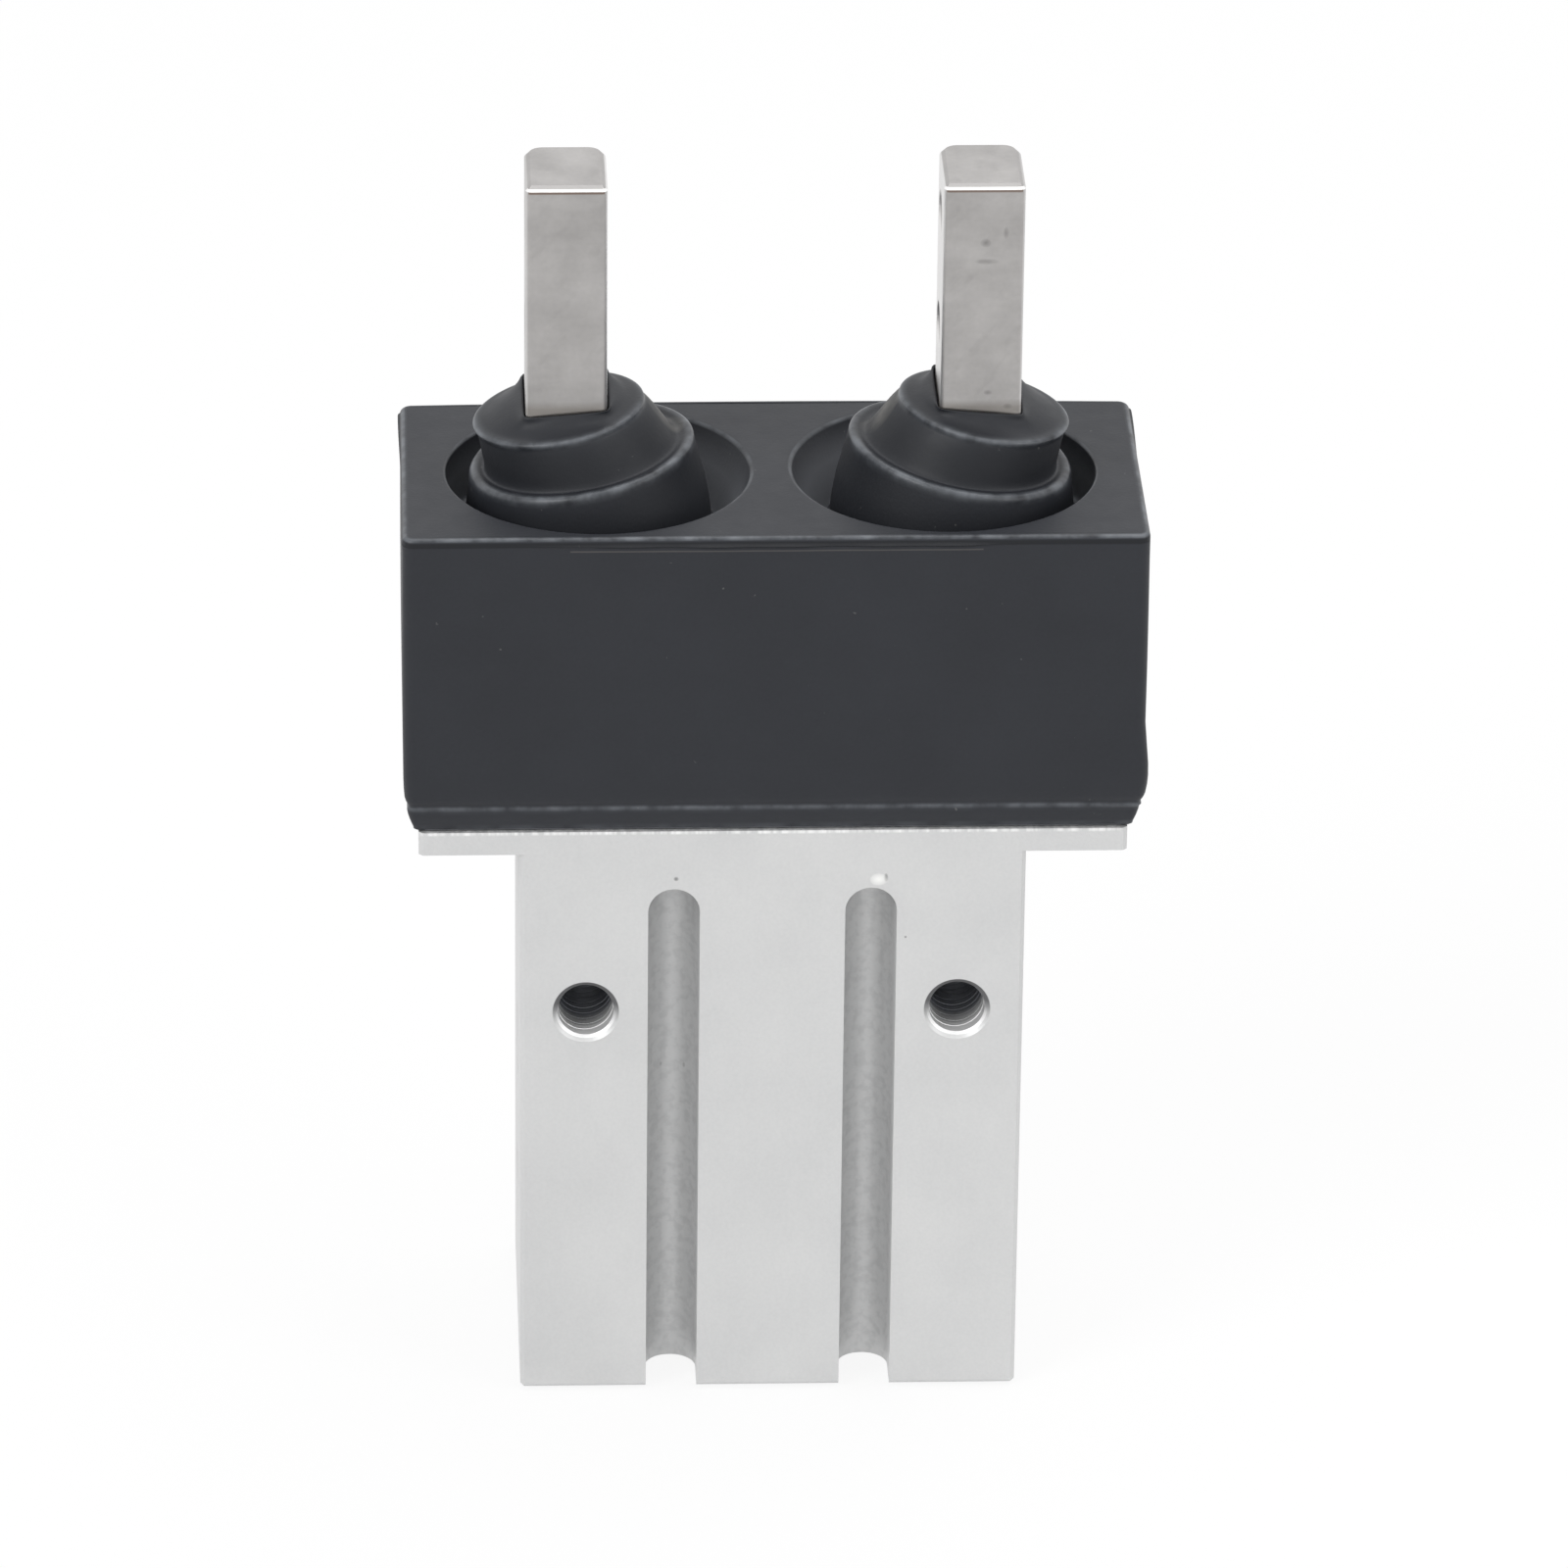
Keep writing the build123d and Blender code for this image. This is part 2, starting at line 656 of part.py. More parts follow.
export_step(rod_seal.part, "parts/rod_seal.step")

with BuildPart() as seal_retainer:
    with BuildSketch(Plane.XY.offset(partition_bottom)):
        Circle(rod_seal_radius)
        Circle(rod_radius + retainer_clearance, mode=Mode.SUBTRACT)
    extrude(amount=retainer_thickness)
seal_retainer.part.label = "seal_retainer"
export_step(seal_retainer.part, "parts/seal_retainer.step")

# Lever shafts: two pins pressed in from the back face
with BuildPart() as lever_shafts:
    with BuildSketch(Plane.XZ.offset(shaft_front_reach)):
        with Locations((-shaft_x, shaft_height), (shaft_x, shaft_height)):
            Circle(shaft_diameter / 2)
    extrude(amount=-shaft_front_reach - body_depth / 2 + shaft_back_inset)
    chamfer(lever_shafts.edges().filter_by(GeomType.CIRCLE), pin_end_chamfer)
lever_shafts.part.label = "lever_shafts"
export_step(lever_shafts.part, "parts/lever_shafts.step")

# Levers: one part, used twice, the right one turned half round about the vertical axis.
# Local x runs along the inner arm to the centre pin, local y along the upper arm.
for side, name in ((-1, "left_lever"), (1, "right_lever")):
    lever_plane = Plane(
        origin=(side * shaft_x, 0, shaft_height),
        x_dir=(-side * swing_cosine, 0, swing_sine),
        z_dir=(0, side, 0),
    )
    pin_distance = shaft_x / swing_cosine
    with BuildPart() as lever:
        with BuildSketch(lever_plane):
            Circle(lever_hub_radius)
        extrude(amount=lever_hub_length / 2, both=True)
        with BuildSketch(lever_plane):
            Circle(lever_root_radius)
            with Locations((0, lever_arm_up - lever_lobe_radius)):
                Circle(lever_neck_radius)
            make_hull()
            with Locations((0, lever_arm_up)):
                Circle(lever_lobe_radius)
        extrude(amount=lever_thickness / 2, both=True)
        with BuildSketch(lever_plane):
            Rectangle(
                pin_distance - lever_lap_start, 2 * lever_root_radius,
                align=(Align.MIN, Align.CENTER),
            )
        extrude(amount=lever_thickness / 2, both=True)
        with BuildSketch(lever_plane.offset(lever_lap_gap / 2)):
            with Locations((pin_distance - lever_lap_start, 0)):
                Rectangle(
                    lever_lap_start + lever_tine_reach, 2 * lever_tine_radius,
                    align=(Align.MIN, Align.CENTER),
                )
            with Locations((pin_distance, 0)):
                Circle(centre_pin_diameter / 2 + lever_pin_clearance, mode=Mode.SUBTRACT)
                Rectangle(
                    2 * lever_tine_reach, centre_pin_diameter + 2 * lever_pin_clearance,
                    align=(Align.MIN, Align.CENTER), mode=Mode.SUBTRACT,
                )
        extrude(amount=(lever_thickness - lever_lap_gap) / 2)
        with BuildSketch(lever_plane):
            Circle(shaft_diameter / 2 + shaft_clearance)
        extrude(amount=lever_hub_length, both=True, mode=Mode.SUBTRACT)
    lever.part.label = name
    export_step(lever.part, f"parts/{name}.step")

# Guide block: open channel for the carriages, windows for the levers, roller tracks in its walls
with BuildPart() as guide:
    with BuildSketch(Plane.XY.offset(flange_top)):
        Rectangle(guide_length, guide_depth)
    extrude(amount=guide_height)
    chamfer(guide.edges().filter_by(Axis.Z), guide_edge)
    with BuildSketch(Plane.YZ):
        with Locations((0, guide_floor_top)):
            Rectangle(2 * channel_half, guide_height, align=(Align.CENTER, Align.MIN))
        with Locations((-track_y, track_height), (track_y, track_height)):
            Rectangle(track_square, track_square, rotation=45)
    extrude(amount=guide_length, both=True, mode=Mode.SUBTRACT)
    window_reach = (guide_floor_top - shaft_height) * swing_sine + lever_root_radius
    with BuildSketch(Plane.XY.offset(flange_top)):
        with GridLocations(2 * shaft_x, 1, 2, 1):
            Rectangle(
                2 * (window_reach + guide_window_clearance),
                lever_thickness + 2 * guide_window_clearance,
            )
    extrude(amount=guide_floor, mode=Mode.SUBTRACT)
    with Locations((0, 0, guide_top)):
        with GridLocations(screw_spacing_x, screw_spacing_y, 2, 2):
            CounterBoreHole(
                screw_hole_radius, screw_head_hole_radius, screw_head_height + screw_head_inset,
            )
    with BuildSketch(Plane.XY.offset(flange_top)):
        with GridLocations(dowel_spacing, 1, 2, 1):
            Circle(dowel_diameter / 2)
    extrude(amount=guide_floor, mode=Mode.SUBTRACT)
guide.part.label = "guide"
export_step(guide.part, "parts/guide.step")

# Four socket head screws that hold the guide block down
with BuildPart() as guide_screws:
    head_seat = guide_top - screw_head_inset - screw_head_height
    with BuildSketch(Plane.XY.offset(head_seat)):
        with GridLocations(screw_spacing_x, screw_spacing_y, 2, 2):
            Circle(screw_head_diameter / 2)
    extrude(amount=screw_head_height)
    with BuildSketch(Plane.XY.offset(head_seat)):
        with GridLocations(screw_spacing_x, screw_spacing_y, 2, 2):
            Circle(screw_diameter / 2)
    extrude(amount=-screw_length)
    with BuildSketch(Plane.XY.offset(head_seat + screw_head_height)):
        with GridLocations(screw_spacing_x, screw_spacing_y, 2, 2):
            RegularPolygon(screw_hex / 2, 6, major_radius=False)
    extrude(amount=-screw_hex_depth, mode=Mode.SUBTRACT)
guide_screws.part.label = "guide_screws"
export_step(guide_screws.part, "parts/guide_screws.step")

# Two dowels that place the guide block on the body
with BuildPart() as guide_dowels:
    with BuildSketch(Plane.XY.offset(guide_floor_top)):
        with GridLocations(dowel_spacing, 1, 2, 1):
            Circle(dowel_diameter / 2)
    extrude(amount=-dowel_length)
    chamfer(guide_dowels.edges().filter_by(GeomType.CIRCLE), pin_end_chamfer)
guide_dowels.part.label = "guide_dowels"
export_step(guide_dowels.part, "parts/guide_dowels.step")

# Fingers with their carriages, stop pins and rollers
for side, name in ((-1, "left"), (1, "right")):
    with BuildPart() as finger:
        with BuildSketch(Plane.XZ) as finger_profile:
            with Locations((side * carriage_centre, carriage_bottom)):
                Rectangle(carriage_length, carriage_height, align=(Align.CENTER, Align.MIN))
            with Locations((side * finger_x, carriage_bottom)):
                Rectangle(
                    finger_thickness, finger_top - carriage_bottom,
                    align=(Align.CENTER, Align.MIN),
                )
            shoulder = finger_profile.vertices().filter_by_position(
                Axis.Y, carriage_top - finger_corner, carriage_top + finger_corner,
            )
            inner_corners = shoulder.sort_by(lambda corner: abs(corner.X - side * finger_x))[0:2]
            fillet(inner_corners, carriage_shoulder)
        extrude(amount=finger_depth / 2, both=True)
        uprights = finger.edges().filter_by(Axis.Z).group_by(SortBy.LENGTH)[-1]
        fillet(uprights.group_by(Axis.Y)[0], finger_corner)
        uprights = finger.edges().filter_by(Axis.Z).group_by(SortBy.LENGTH)[-1]
        fillet(uprights.group_by(Axis.Y)[-1], finger_back_corner)
        chamfer(finger.faces().sort_by(Axis.Z)[-1].edges(), finger_tip_chamfer)
        with BuildSketch(Plane.YZ):
            with Locations((-track_y, track_height), (track_y, track_height)):
                Rectangle(track_square, track_square, rotation=45)
        extrude(amount=guide_length, both=True, mode=Mode.SUBTRACT)
        with BuildSketch(Plane.XZ):
            with Locations((side * lobe_x, carriage_bottom)):
                Rectangle(
                    2 * (lever_lobe_radius + lobe_clearance), lobe_slot_depth,
                    align=(Align.CENTER, Align.MIN),
                )
        extrude(
            amount=lever_thickness / 2 + lobe_slot_side_clearance, both=True, mode=Mode.SUBTRACT,
        )
        with BuildSketch(Plane.XZ):
            with Locations(
                (side * (carriage_centre - stop_spacing / 2), track_height),
                (side * (carriage_centre + stop_spacing / 2), track_height),
            ):
                Circle(stop_pin_diameter / 2)
        extrude(amount=finger_depth, both=True, mode=Mode.SUBTRACT)
        first_hole = finger_top - finger_first_hole
        for facing in (-1, 1):
            bar_face = Plane(
                origin=(side * finger_x + facing * finger_thickness / 2, 0, first_hole),
                x_dir=(0, facing, 0), z_dir=(facing, 0, 0),
            )
            with Locations(bar_face):
                with Locations((0, 0), (0, -finger_hole_pitch)):
                    CounterSinkHole(
                        finger_drill / 2, finger_drill / 2 + finger_hole_chamfer,
                        depth=finger_thickness, counter_sink_angle=90,
                    )
    finger.part.label = f"{name}_finger"
    export_step(finger.part, f"parts/{name}_finger.step")

    with BuildPart() as roller_stops:
        with BuildSketch(Plane.XZ):
            with Locations(
                (side * (carriage_centre - stop_spacing / 2), track_height),
                (side * (carriage_centre + stop_spacing / 2), track_height),
            ):
                Circle(stop_pin_diameter / 2)
        extrude(amount=track_y - track_half_diagonal + stop_pin_reach, both=True)
    roller_stops.part.label = f"{name}_roller_stops"
    export_step(roller_stops.part, f"parts/{name}_roller_stops.step")

    # A row of rollers runs half as far as the carriage, so it starts a quarter travel inwards
    with BuildPart() as rollers:
        row_centre = carriage_centre - finger_travel / 4
        for row in (-1, 1):
            for place in range(rollers_in_row):
                lean = 1 if place % 2 else -1
                shift = (place - (rollers_in_row - 1) / 2) * roller_pitch
                roller_plane = Plane(
                    origin=(side * row_centre + shift, row * track_y, track_height),
                    x_dir=(1, 0, 0), z_dir=(0, 1, lean),
                )
                with BuildSketch(roller_plane):
                    Circle(roller_diameter / 2)
                extrude(amount=(track_square - roller_length_play) / 2, both=True)
    rollers.part.label = f"{name}_rollers"
    export_step(rollers.part, f"parts/{name}_rollers.step")

# Hollow under the dust cover's skin, left full where the walls of the two wells hang down
with BuildPart() as cover_hollow:
    with BuildSketch(Plane.XY.offset(flange_top)):
        Rectangle(guide_length + 2 * cover_fit, guide_depth + 2 * cover_fit)
    extrude(amount=cover_top - cover_top_wall - flange_top)
    for side in (-1, 1):
        with BuildSketch(level_ring_plane(side, well_x_bottom, well_floor - well_wall)):
            Circle(well_radius_bottom + well_wall)
        with BuildSketch(level_ring_plane(side, well_x_top, cover_top)):
            Circle(well_radius_top + well_wall)
        loft(mode=Mode.SUBTRACT)

# Dust cover: moulded rubber box with a tapered lip below and two round wells in its top
with BuildPart() as dust_cover:
    with BuildSketch(Plane.XY.offset(flange_top + lip_height)):
        RectangleRounded(cover_length, cover_depth, cover_corner)
    extrude(amount=cover_top - flange_top - lip_height)
    fillet(dust_cover.faces().sort_by(Axis.Z)[-1].edges(), cover_edge)
    with BuildSketch(Plane.XY.offset(flange_top)):
        RectangleRounded(
            cover_length - 2 * (lip_inset + lip_taper), cover_depth - 2 * (lip_inset + lip_taper),
            cover_corner,
        )
    with BuildSketch(Plane.XY.offset(flange_top + lip_height)):
        RectangleRounded(cover_length - 2 * lip_inset, cover_depth - 2 * lip_inset, cover_corner)
    loft()
    add(cover_hollow.part, mode=Mode.SUBTRACT)
    for side in (-1, 1):
        with BuildSketch(level_ring_plane(side, well_x_bottom, well_floor)):
            Circle(well_radius_bottom)
        with BuildSketch(level_ring_plane(side, well_x_top, cover_top)):
            Circle(well_radius_top)
        loft(mode=Mode.SUBTRACT)
        with BuildSketch(level_ring_plane(side, well_x_bottom, well_floor)):
            Circle(well_hole_radius)
        extrude(amount=-2 * well_wall, mode=Mode.SUBTRACT)
dust_cover.part.label = "dust_cover"
export_step(dust_cover.part, "parts/dust_cover.step")

# Bellows: leaning with the opened fingers, hollow, closed by a collar round the finger
for side, name in ((-1, "left_bellows"), (1, "right_bellows")):
    step_base = well_floor + root_thickness
    neck_foot = step_height - neck_foot_sink
    neck_top = collar_height - collar_flare_height
    cone_top = collar_height + collar_cone_height
    with BuildPart() as bellows:
        with BuildSketch(level_ring_plane(side, well_x_bottom, well_floor)):
            Circle(well_radius_bottom - root_fit)
        extrude(amount=root_thickness)
        with BuildSketch(level_ring_plane(side, well_x_bottom, step_base)):
            Circle(step_root_radius)
        with BuildSketch(tilted_ring_plane(side, well_x_bottom, step_height, step_tilt)):
            Circle(step_radius)
        loft()
        with BuildSketch(tilted_ring_plane(side, well_x_bottom, neck_foot, step_tilt)):
            Circle(neck_foot_radius)
        with BuildSketch(tilted_ring_plane(side, collar_x, neck_top, collar_tilt)):
            Circle(neck_top_radius)
        loft()
        with BuildSketch(tilted_ring_plane(side, collar_x, neck_top, collar_tilt)):
            Circle(neck_top_radius)
        with BuildSketch(tilted_ring_plane(side, collar_x, collar_height, collar_tilt)):
            Circle(collar_radius)
        loft()
        with BuildSketch(tilted_ring_plane(side, collar_x, collar_height, collar_tilt)):
            Circle(collar_radius)
        with BuildSketch(tilted_ring_plane(side, collar_x, cone_top, collar_tilt)):
            Circle(collar_cone_radius)
        loft()
        with BuildSketch(level_ring_plane(side, well_x_bottom, well_floor)):
            Circle(step_root_radius - bellows_wall)
        with BuildSketch(tilted_ring_plane(side, well_x_bottom, neck_foot, step_tilt)):
            Circle(step_radius - bellows_wall)
        loft(mode=Mode.SUBTRACT)
        with BuildSketch(
            tilted_ring_plane(side, well_x_bottom, neck_foot - bellows_wall, step_tilt)
        ):
            Circle(neck_foot_radius - bellows_wall)
        with BuildSketch(
            tilted_ring_plane(side, collar_x, neck_top - bellows_wall, collar_tilt)
        ):
            Circle(neck_top_radius - bellows_wall)
        loft(mode=Mode.SUBTRACT)
        with BuildSketch(Plane.XY.offset(well_floor)):
            with Locations((side * finger_x, 0)):
                bar_hole = Rectangle(finger_thickness, finger_depth)
            fillet(bar_hole.vertices().group_by(Axis.Y)[0], finger_corner)
            fillet(bar_hole.vertices().group_by(Axis.Y)[-1], finger_back_corner)
        extrude(amount=finger_top - well_floor, mode=Mode.SUBTRACT)
    bellows.part.label = name
    export_step(bellows.part, f"parts/{name}.step")
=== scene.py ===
import math

import bmesh
import bpy
from mathutils import Matrix, Vector
from mathutils.geometry import tessellate_polygon


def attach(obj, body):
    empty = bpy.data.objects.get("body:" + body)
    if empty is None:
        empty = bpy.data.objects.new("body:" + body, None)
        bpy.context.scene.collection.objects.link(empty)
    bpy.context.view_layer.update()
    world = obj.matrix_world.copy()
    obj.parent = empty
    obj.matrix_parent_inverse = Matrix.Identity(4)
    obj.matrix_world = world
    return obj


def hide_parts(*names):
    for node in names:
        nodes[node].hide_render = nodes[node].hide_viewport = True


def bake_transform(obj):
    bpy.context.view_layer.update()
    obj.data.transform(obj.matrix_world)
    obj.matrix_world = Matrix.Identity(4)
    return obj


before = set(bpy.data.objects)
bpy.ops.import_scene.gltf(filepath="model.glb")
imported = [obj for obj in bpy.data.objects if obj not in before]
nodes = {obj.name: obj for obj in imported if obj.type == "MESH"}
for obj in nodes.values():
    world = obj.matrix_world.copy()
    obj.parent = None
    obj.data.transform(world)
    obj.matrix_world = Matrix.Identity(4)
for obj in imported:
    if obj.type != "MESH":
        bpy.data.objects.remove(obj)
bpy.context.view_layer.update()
mm = 0.001
mergeDistance = 1e-7
print("Frame loaded:", len(nodes), "pieces")


# Small helpers for meshes made ring by ring
def addObject(name, mesh, material):
    piece = bpy.data.objects.new(name, mesh)
    bpy.context.scene.collection.objects.link(piece)
    mesh.materials.clear()
    mesh.materials.append(material)
    return piece


def meshFromRings(name, rings, rimValues, creaseAngle):
    points = [tuple(point) for ring in rings for point in ring]
    size = len(rings[0])
    faces = []
    count = len(rings)
    for i in range(count):
        j = (i + 1) % count
        for k in range(size):
            m = (k + 1) % size
            faces.append((i * size + k, i * size + m, j * size + m, j * size + k))
    mesh = bpy.data.meshes.new(name)
    mesh.from_pydata(points, [], faces)
    addRimValues(mesh, [value for value in rimValues for k in range(size)])
    finishMesh(mesh, creaseAngle)
    return mesh


def addRimValues(mesh, values):
    # How much highlight is painted on each point, and below 0 how much shade, read by the
    # rubber's finish
    rims = mesh.attributes.new("rim", "FLOAT", "POINT")
    for item, value in zip(rims.data, values):
        item.value = value


def finishMesh(mesh, creaseAngle):
    work = bmesh.new()
    work.from_mesh(mesh)
    bmesh.ops.remove_doubles(work, verts=work.verts, dist=mergeDistance)
    bmesh.ops.recalc_face_normals(work, faces=work.faces)
    work.to_mesh(mesh)
    work.free()
    mesh.shade_smooth()
    mesh.set_sharp_from_angle(angle=math.radians(creaseAngle))
    mesh.update()


def smoothPath(controls, steps):
    # Catmull-Rom through rows of numbers, so that a few control rings give a soft profile
    rows = []
    last = len(controls) - 1
    for i in range(last):
        a, b = controls[max(i - 1, 0)], controls[i]
        c, d = controls[i + 1], controls[min(i + 2, last)]
        for step in range(steps):
            t = step / steps
            rows.append([
                0.5 * (2 * q + (r - p) * t + (2 * p - 5 * q + 4 * r - s) * t * t
                       + (3 * q - p - 3 * r + s) * t ** 3)
                for p, q, r, s in zip(a, b, c, d)
            ])
    rows.append(list(controls[last]))
    return rows


# Shader node helpers
def makeMaterial(name):
    material = bpy.data.materials.new(name)
    material.use_nodes = True
    tree = material.node_tree
    tree.nodes.clear()
    output = tree.nodes.new("ShaderNodeOutputMaterial")
    shader = tree.nodes.new("ShaderNodeBsdfPrincipled")
    tree.links.new(shader.outputs["BSDF"], output.inputs["Surface"])
    return material, tree, shader


def addSockets(tree, inputs, outputs):
    for inOut, sockets in (("INPUT", inputs), ("OUTPUT", outputs)):
        for label, kind in sockets.items():
            tree.interface.new_socket(label, in_out=inOut, socket_type="NodeSocket" + kind)
    return tree, tree.nodes.new("NodeGroupInput"), tree.nodes.new("NodeGroupOutput")


def makeGroup(name, inputs, outputs):
    return addSockets(bpy.data.node_groups.new(name, "ShaderNodeTree"), inputs, outputs)


def placeGroup(tree, group, values):
    node = tree.nodes.new("ShaderNodeGroup")
    node.node_tree = group
    for label, value in values.items():
        node.inputs[label].default_value = value
    return node


def mathNode(tree, operation, first, second, clamp=False):
    node = tree.nodes.new("ShaderNodeMath")
    node.operation = operation
    node.use_clamp = clamp
    for socket, value in zip(node.inputs, (first, second)):
        if isinstance(value, (int, float)):
            socket.default_value = value
        else:
            tree.links.new(value, socket)
    return node.outputs[0]


def mixColour(tree, factor, first, second):
    node = tree.nodes.new("ShaderNodeMix")
    node.data_type = "RGBA"
    tree.links.new(factor, node.inputs["Factor"])
    for label, value in (("A", first), ("B", second)):
        socket = [s for s in node.inputs if s.name == label and s.type == "RGBA"][0]
        if isinstance(value, tuple):
            socket.default_value = (*value, 1)
        else:
            tree.links.new(value, socket)
    return [s for s in node.outputs if s.type == "RGBA"][0]


def vectorMath(tree, operation, first, second=None):
    node = tree.nodes.new("ShaderNodeVectorMath")
    node.operation = operation
    tree.links.new(first, node.inputs[0])
    if second:
        tree.links.new(second, node.inputs[1])
    return node


def times(tree, mask, amount):
    return mathNode(tree, "MULTIPLY", mask, amount)


def contrast(tree, value, low, gain):
    # 0 up to low, then rising by the gain until it reaches 1
    return mathNode(tree, "MULTIPLY", mathNode(tree, "SUBTRACT", value, low), gain, clamp=True)


def radiusOf(tree, first, second):
    squares = mathNode(tree, "ADD", times(tree, first, first), times(tree, second, second))
    return mathNode(tree, "SQRT", squares, 0.0)


def paint(tree, colour, mask, share, tone):
    return mixColour(tree, times(tree, mask, share), colour, tone)


# Shared effects: soft mottling, fine directional lines, and small round marks
patternSizes = {"broadDetail": 3.0, "fineDetail": 2.0, "lineDetail": 4.0, "spotEdge": 0.6}


def addNoise(group, place, scale, detail, leave, label):
    noise = group.nodes.new("ShaderNodeTexNoise")
    noise.inputs["Detail"].default_value = detail
    group.links.new(place, noise.inputs["Vector"])
    group.links.new(scale, noise.inputs["Scale"])
    group.links.new(noise.outputs[0], leave.inputs[label])


def buildMottle(size):
    group, entry, leave = makeGroup(
        "softMottle", {"Vector": "Vector", "Scale": "Float", "Fine Scale": "Float"},
        {"Broad": "Float", "Fine": "Float"},
    )
    place = entry.outputs["Vector"]
    addNoise(group, place, entry.outputs["Scale"], size["broadDetail"], leave, "Broad")
    addNoise(group, place, entry.outputs["Fine Scale"], size["fineDetail"], leave, "Fine")
    return group


def buildLines(size):
    group, entry, leave = makeGroup(
        "groundLines", {"Vector": "Vector", "Stretch": "Vector", "Scale": "Float"},
        {"Lines": "Float"},
    )
    stretch = vectorMath(group, "MULTIPLY", entry.outputs["Vector"], entry.outputs["Stretch"])
    scale = entry.outputs["Scale"]
    addNoise(group, stretch.outputs[0], scale, size["lineDetail"], leave, "Lines")
    return group


def buildSpot(size):
    group, entry, leave = makeGroup(
        "softSpot",
        {"Vector": "Vector", "Centre": "Vector", "Squeeze": "Vector", "Radius": "Float"},
        {"Mask": "Float"},
    )
    offset = vectorMath(group, "SUBTRACT", entry.outputs["Vector"], entry.outputs["Centre"])
    squeeze = vectorMath(group, "MULTIPLY", offset.outputs[0], entry.outputs["Squeeze"])
    length = vectorMath(group, "LENGTH", squeeze.outputs[0])
    share = mathNode(group, "DIVIDE", length.outputs["Value"], entry.outputs["Radius"])
    mask = mathNode(group, "SUBTRACT", 1.0, share, clamp=True)
    mask = mathNode(group, "POWER", mask, size["spotEdge"], clamp=True)
    group.links.new(mask, leave.inputs["Mask"])
    return group


softMottle = buildMottle(patternSizes)
groundLines = buildLines(patternSizes)
softSpot = buildSpot(patternSizes)


def placePattern(tree, group, place, values):
    pattern = placeGroup(tree, group, values)
    tree.links.new(place, pattern.inputs["Vector"])
    return pattern.outputs


# One finish made of mottling and lines, for every metal and rubber in the gripper
def makeFinish(name, look):
    material, tree, shader = makeMaterial(name)
    place = tree.nodes.new("ShaderNodeTexCoord").outputs["Object"]
    mottle = placePattern(tree, softMottle, place, {
        "Scale": look["mottleScale"], "Fine Scale": look["grainScale"],
    })
    lines = placePattern(tree, groundLines, place, {
        "Stretch": look["lineStretch"], "Scale": look["lineScale"],
    })
    broad = times(tree, mottle["Broad"], look["mottleWeight"])
    streak = times(tree, lines["Lines"], look["lineWeight"])
    fine = times(tree, mottle["Fine"], look["grainWeight"])
    blend = mathNode(tree, "ADD", mathNode(tree, "ADD", broad, streak), fine)
    colour = mixColour(tree, blend, look["dark"], look["light"])
    tree.links.new(colour, shader.inputs["Base Color"])
    spread = times(tree, mottle["Broad"], look["roughSpread"])
    rough = mathNode(tree, "ADD", spread, look["rough"] - look["roughSpread"] / 2)
    tree.links.new(rough, shader.inputs["Roughness"])
    shader.inputs["Metallic"].default_value = look["metallic"]
    shader.inputs["Specular IOR Level"].default_value = look["specular"]
    height = mathNode(
        tree, "ADD", times(tree, mottle["Fine"], look["grainBump"]),
        times(tree, lines["Lines"], look["lineBump"]),
    )
    bump = tree.nodes.new("ShaderNodeBump")
    bump.inputs["Strength"].default_value = 1.0
    bump.inputs["Distance"].default_value = look["bumpDepth"] * mm
    tree.links.new(height, bump.inputs["Height"])
    tree.links.new(bump.outputs["Normal"], shader.inputs["Normal"])
    return material, tree, shader, colour, place


# Each look adds its own tones and roughness to the plain one
plainLook = {
    "metallic": 1.0, "specular": 0.5, "roughSpread": 0.1, "mottleScale": 300.0,
    "mottleWeight": 0.5, "grainScale": 3000.0, "grainWeight": 0.2, "lineScale": 900.0,
    "lineStretch": (1, 1, 1), "lineWeight": 0.3, "grainBump": 0.3, "lineBump": 0.1,
    "bumpDepth": 0.02,
}
anodisedLook = dict(
    plainLook, dark=(0.56, 0.565, 0.57), light=(0.73, 0.73, 0.725), metallic=0.5, rough=0.5,
    mottleScale=180.0, mottleWeight=0.55, grainScale=5200.0, grainWeight=0.35,
    lineStretch=(1, 1, 0.12), lineScale=1300.0, lineWeight=0.1, grainBump=0.5, lineBump=0.12,
)
fingerLook = dict(
    plainLook, dark=(0.27, 0.26, 0.255), light=(0.58, 0.565, 0.555), rough=0.4, roughSpread=0.14,
    mottleScale=420.0, mottleWeight=0.6, lineStretch=(0.25, 0.25, 1.0), lineScale=1500.0,
    lineWeight=0.25, grainWeight=0.15, grainBump=0.25, lineBump=0.3,
)
guideLook = dict(fingerLook, dark=(0.42, 0.41, 0.4), light=(0.62, 0.61, 0.6), rough=0.3)
rubberLook = dict(
    plainLook, dark=(0.0125, 0.0138, 0.0178), light=(0.0255, 0.028, 0.035), metallic=0.0,
    specular=0.32, rough=0.5, roughSpread=0.14, mottleScale=140.0, mottleWeight=0.6,
    grainScale=4200.0, grainWeight=0.25, lineStretch=(0.15, 1, 1), lineScale=500.0,
    lineWeight=0.15, grainBump=0.5, lineBump=0.1,
)
blackSteelLook = dict(plainLook, dark=(0.03, 0.03, 0.032), light=(0.07, 0.07, 0.072), rough=0.42)
polishedLook = dict(plainLook, dark=(0.58, 0.58, 0.585), light=(0.74, 0.74, 0.745), rough=0.2)
turnedLook = dict(
    plainLook, dark=(0.55, 0.555, 0.56), light=(0.7, 0.705, 0.71), rough=0.34,
    lineStretch=(0.2, 0.2, 1.6), lineScale=2200.0, lineBump=0.6,
)
brassLook = dict(plainLook, dark=(0.45, 0.33, 0.13), light=(0.66, 0.5, 0.24), rough=0.3)
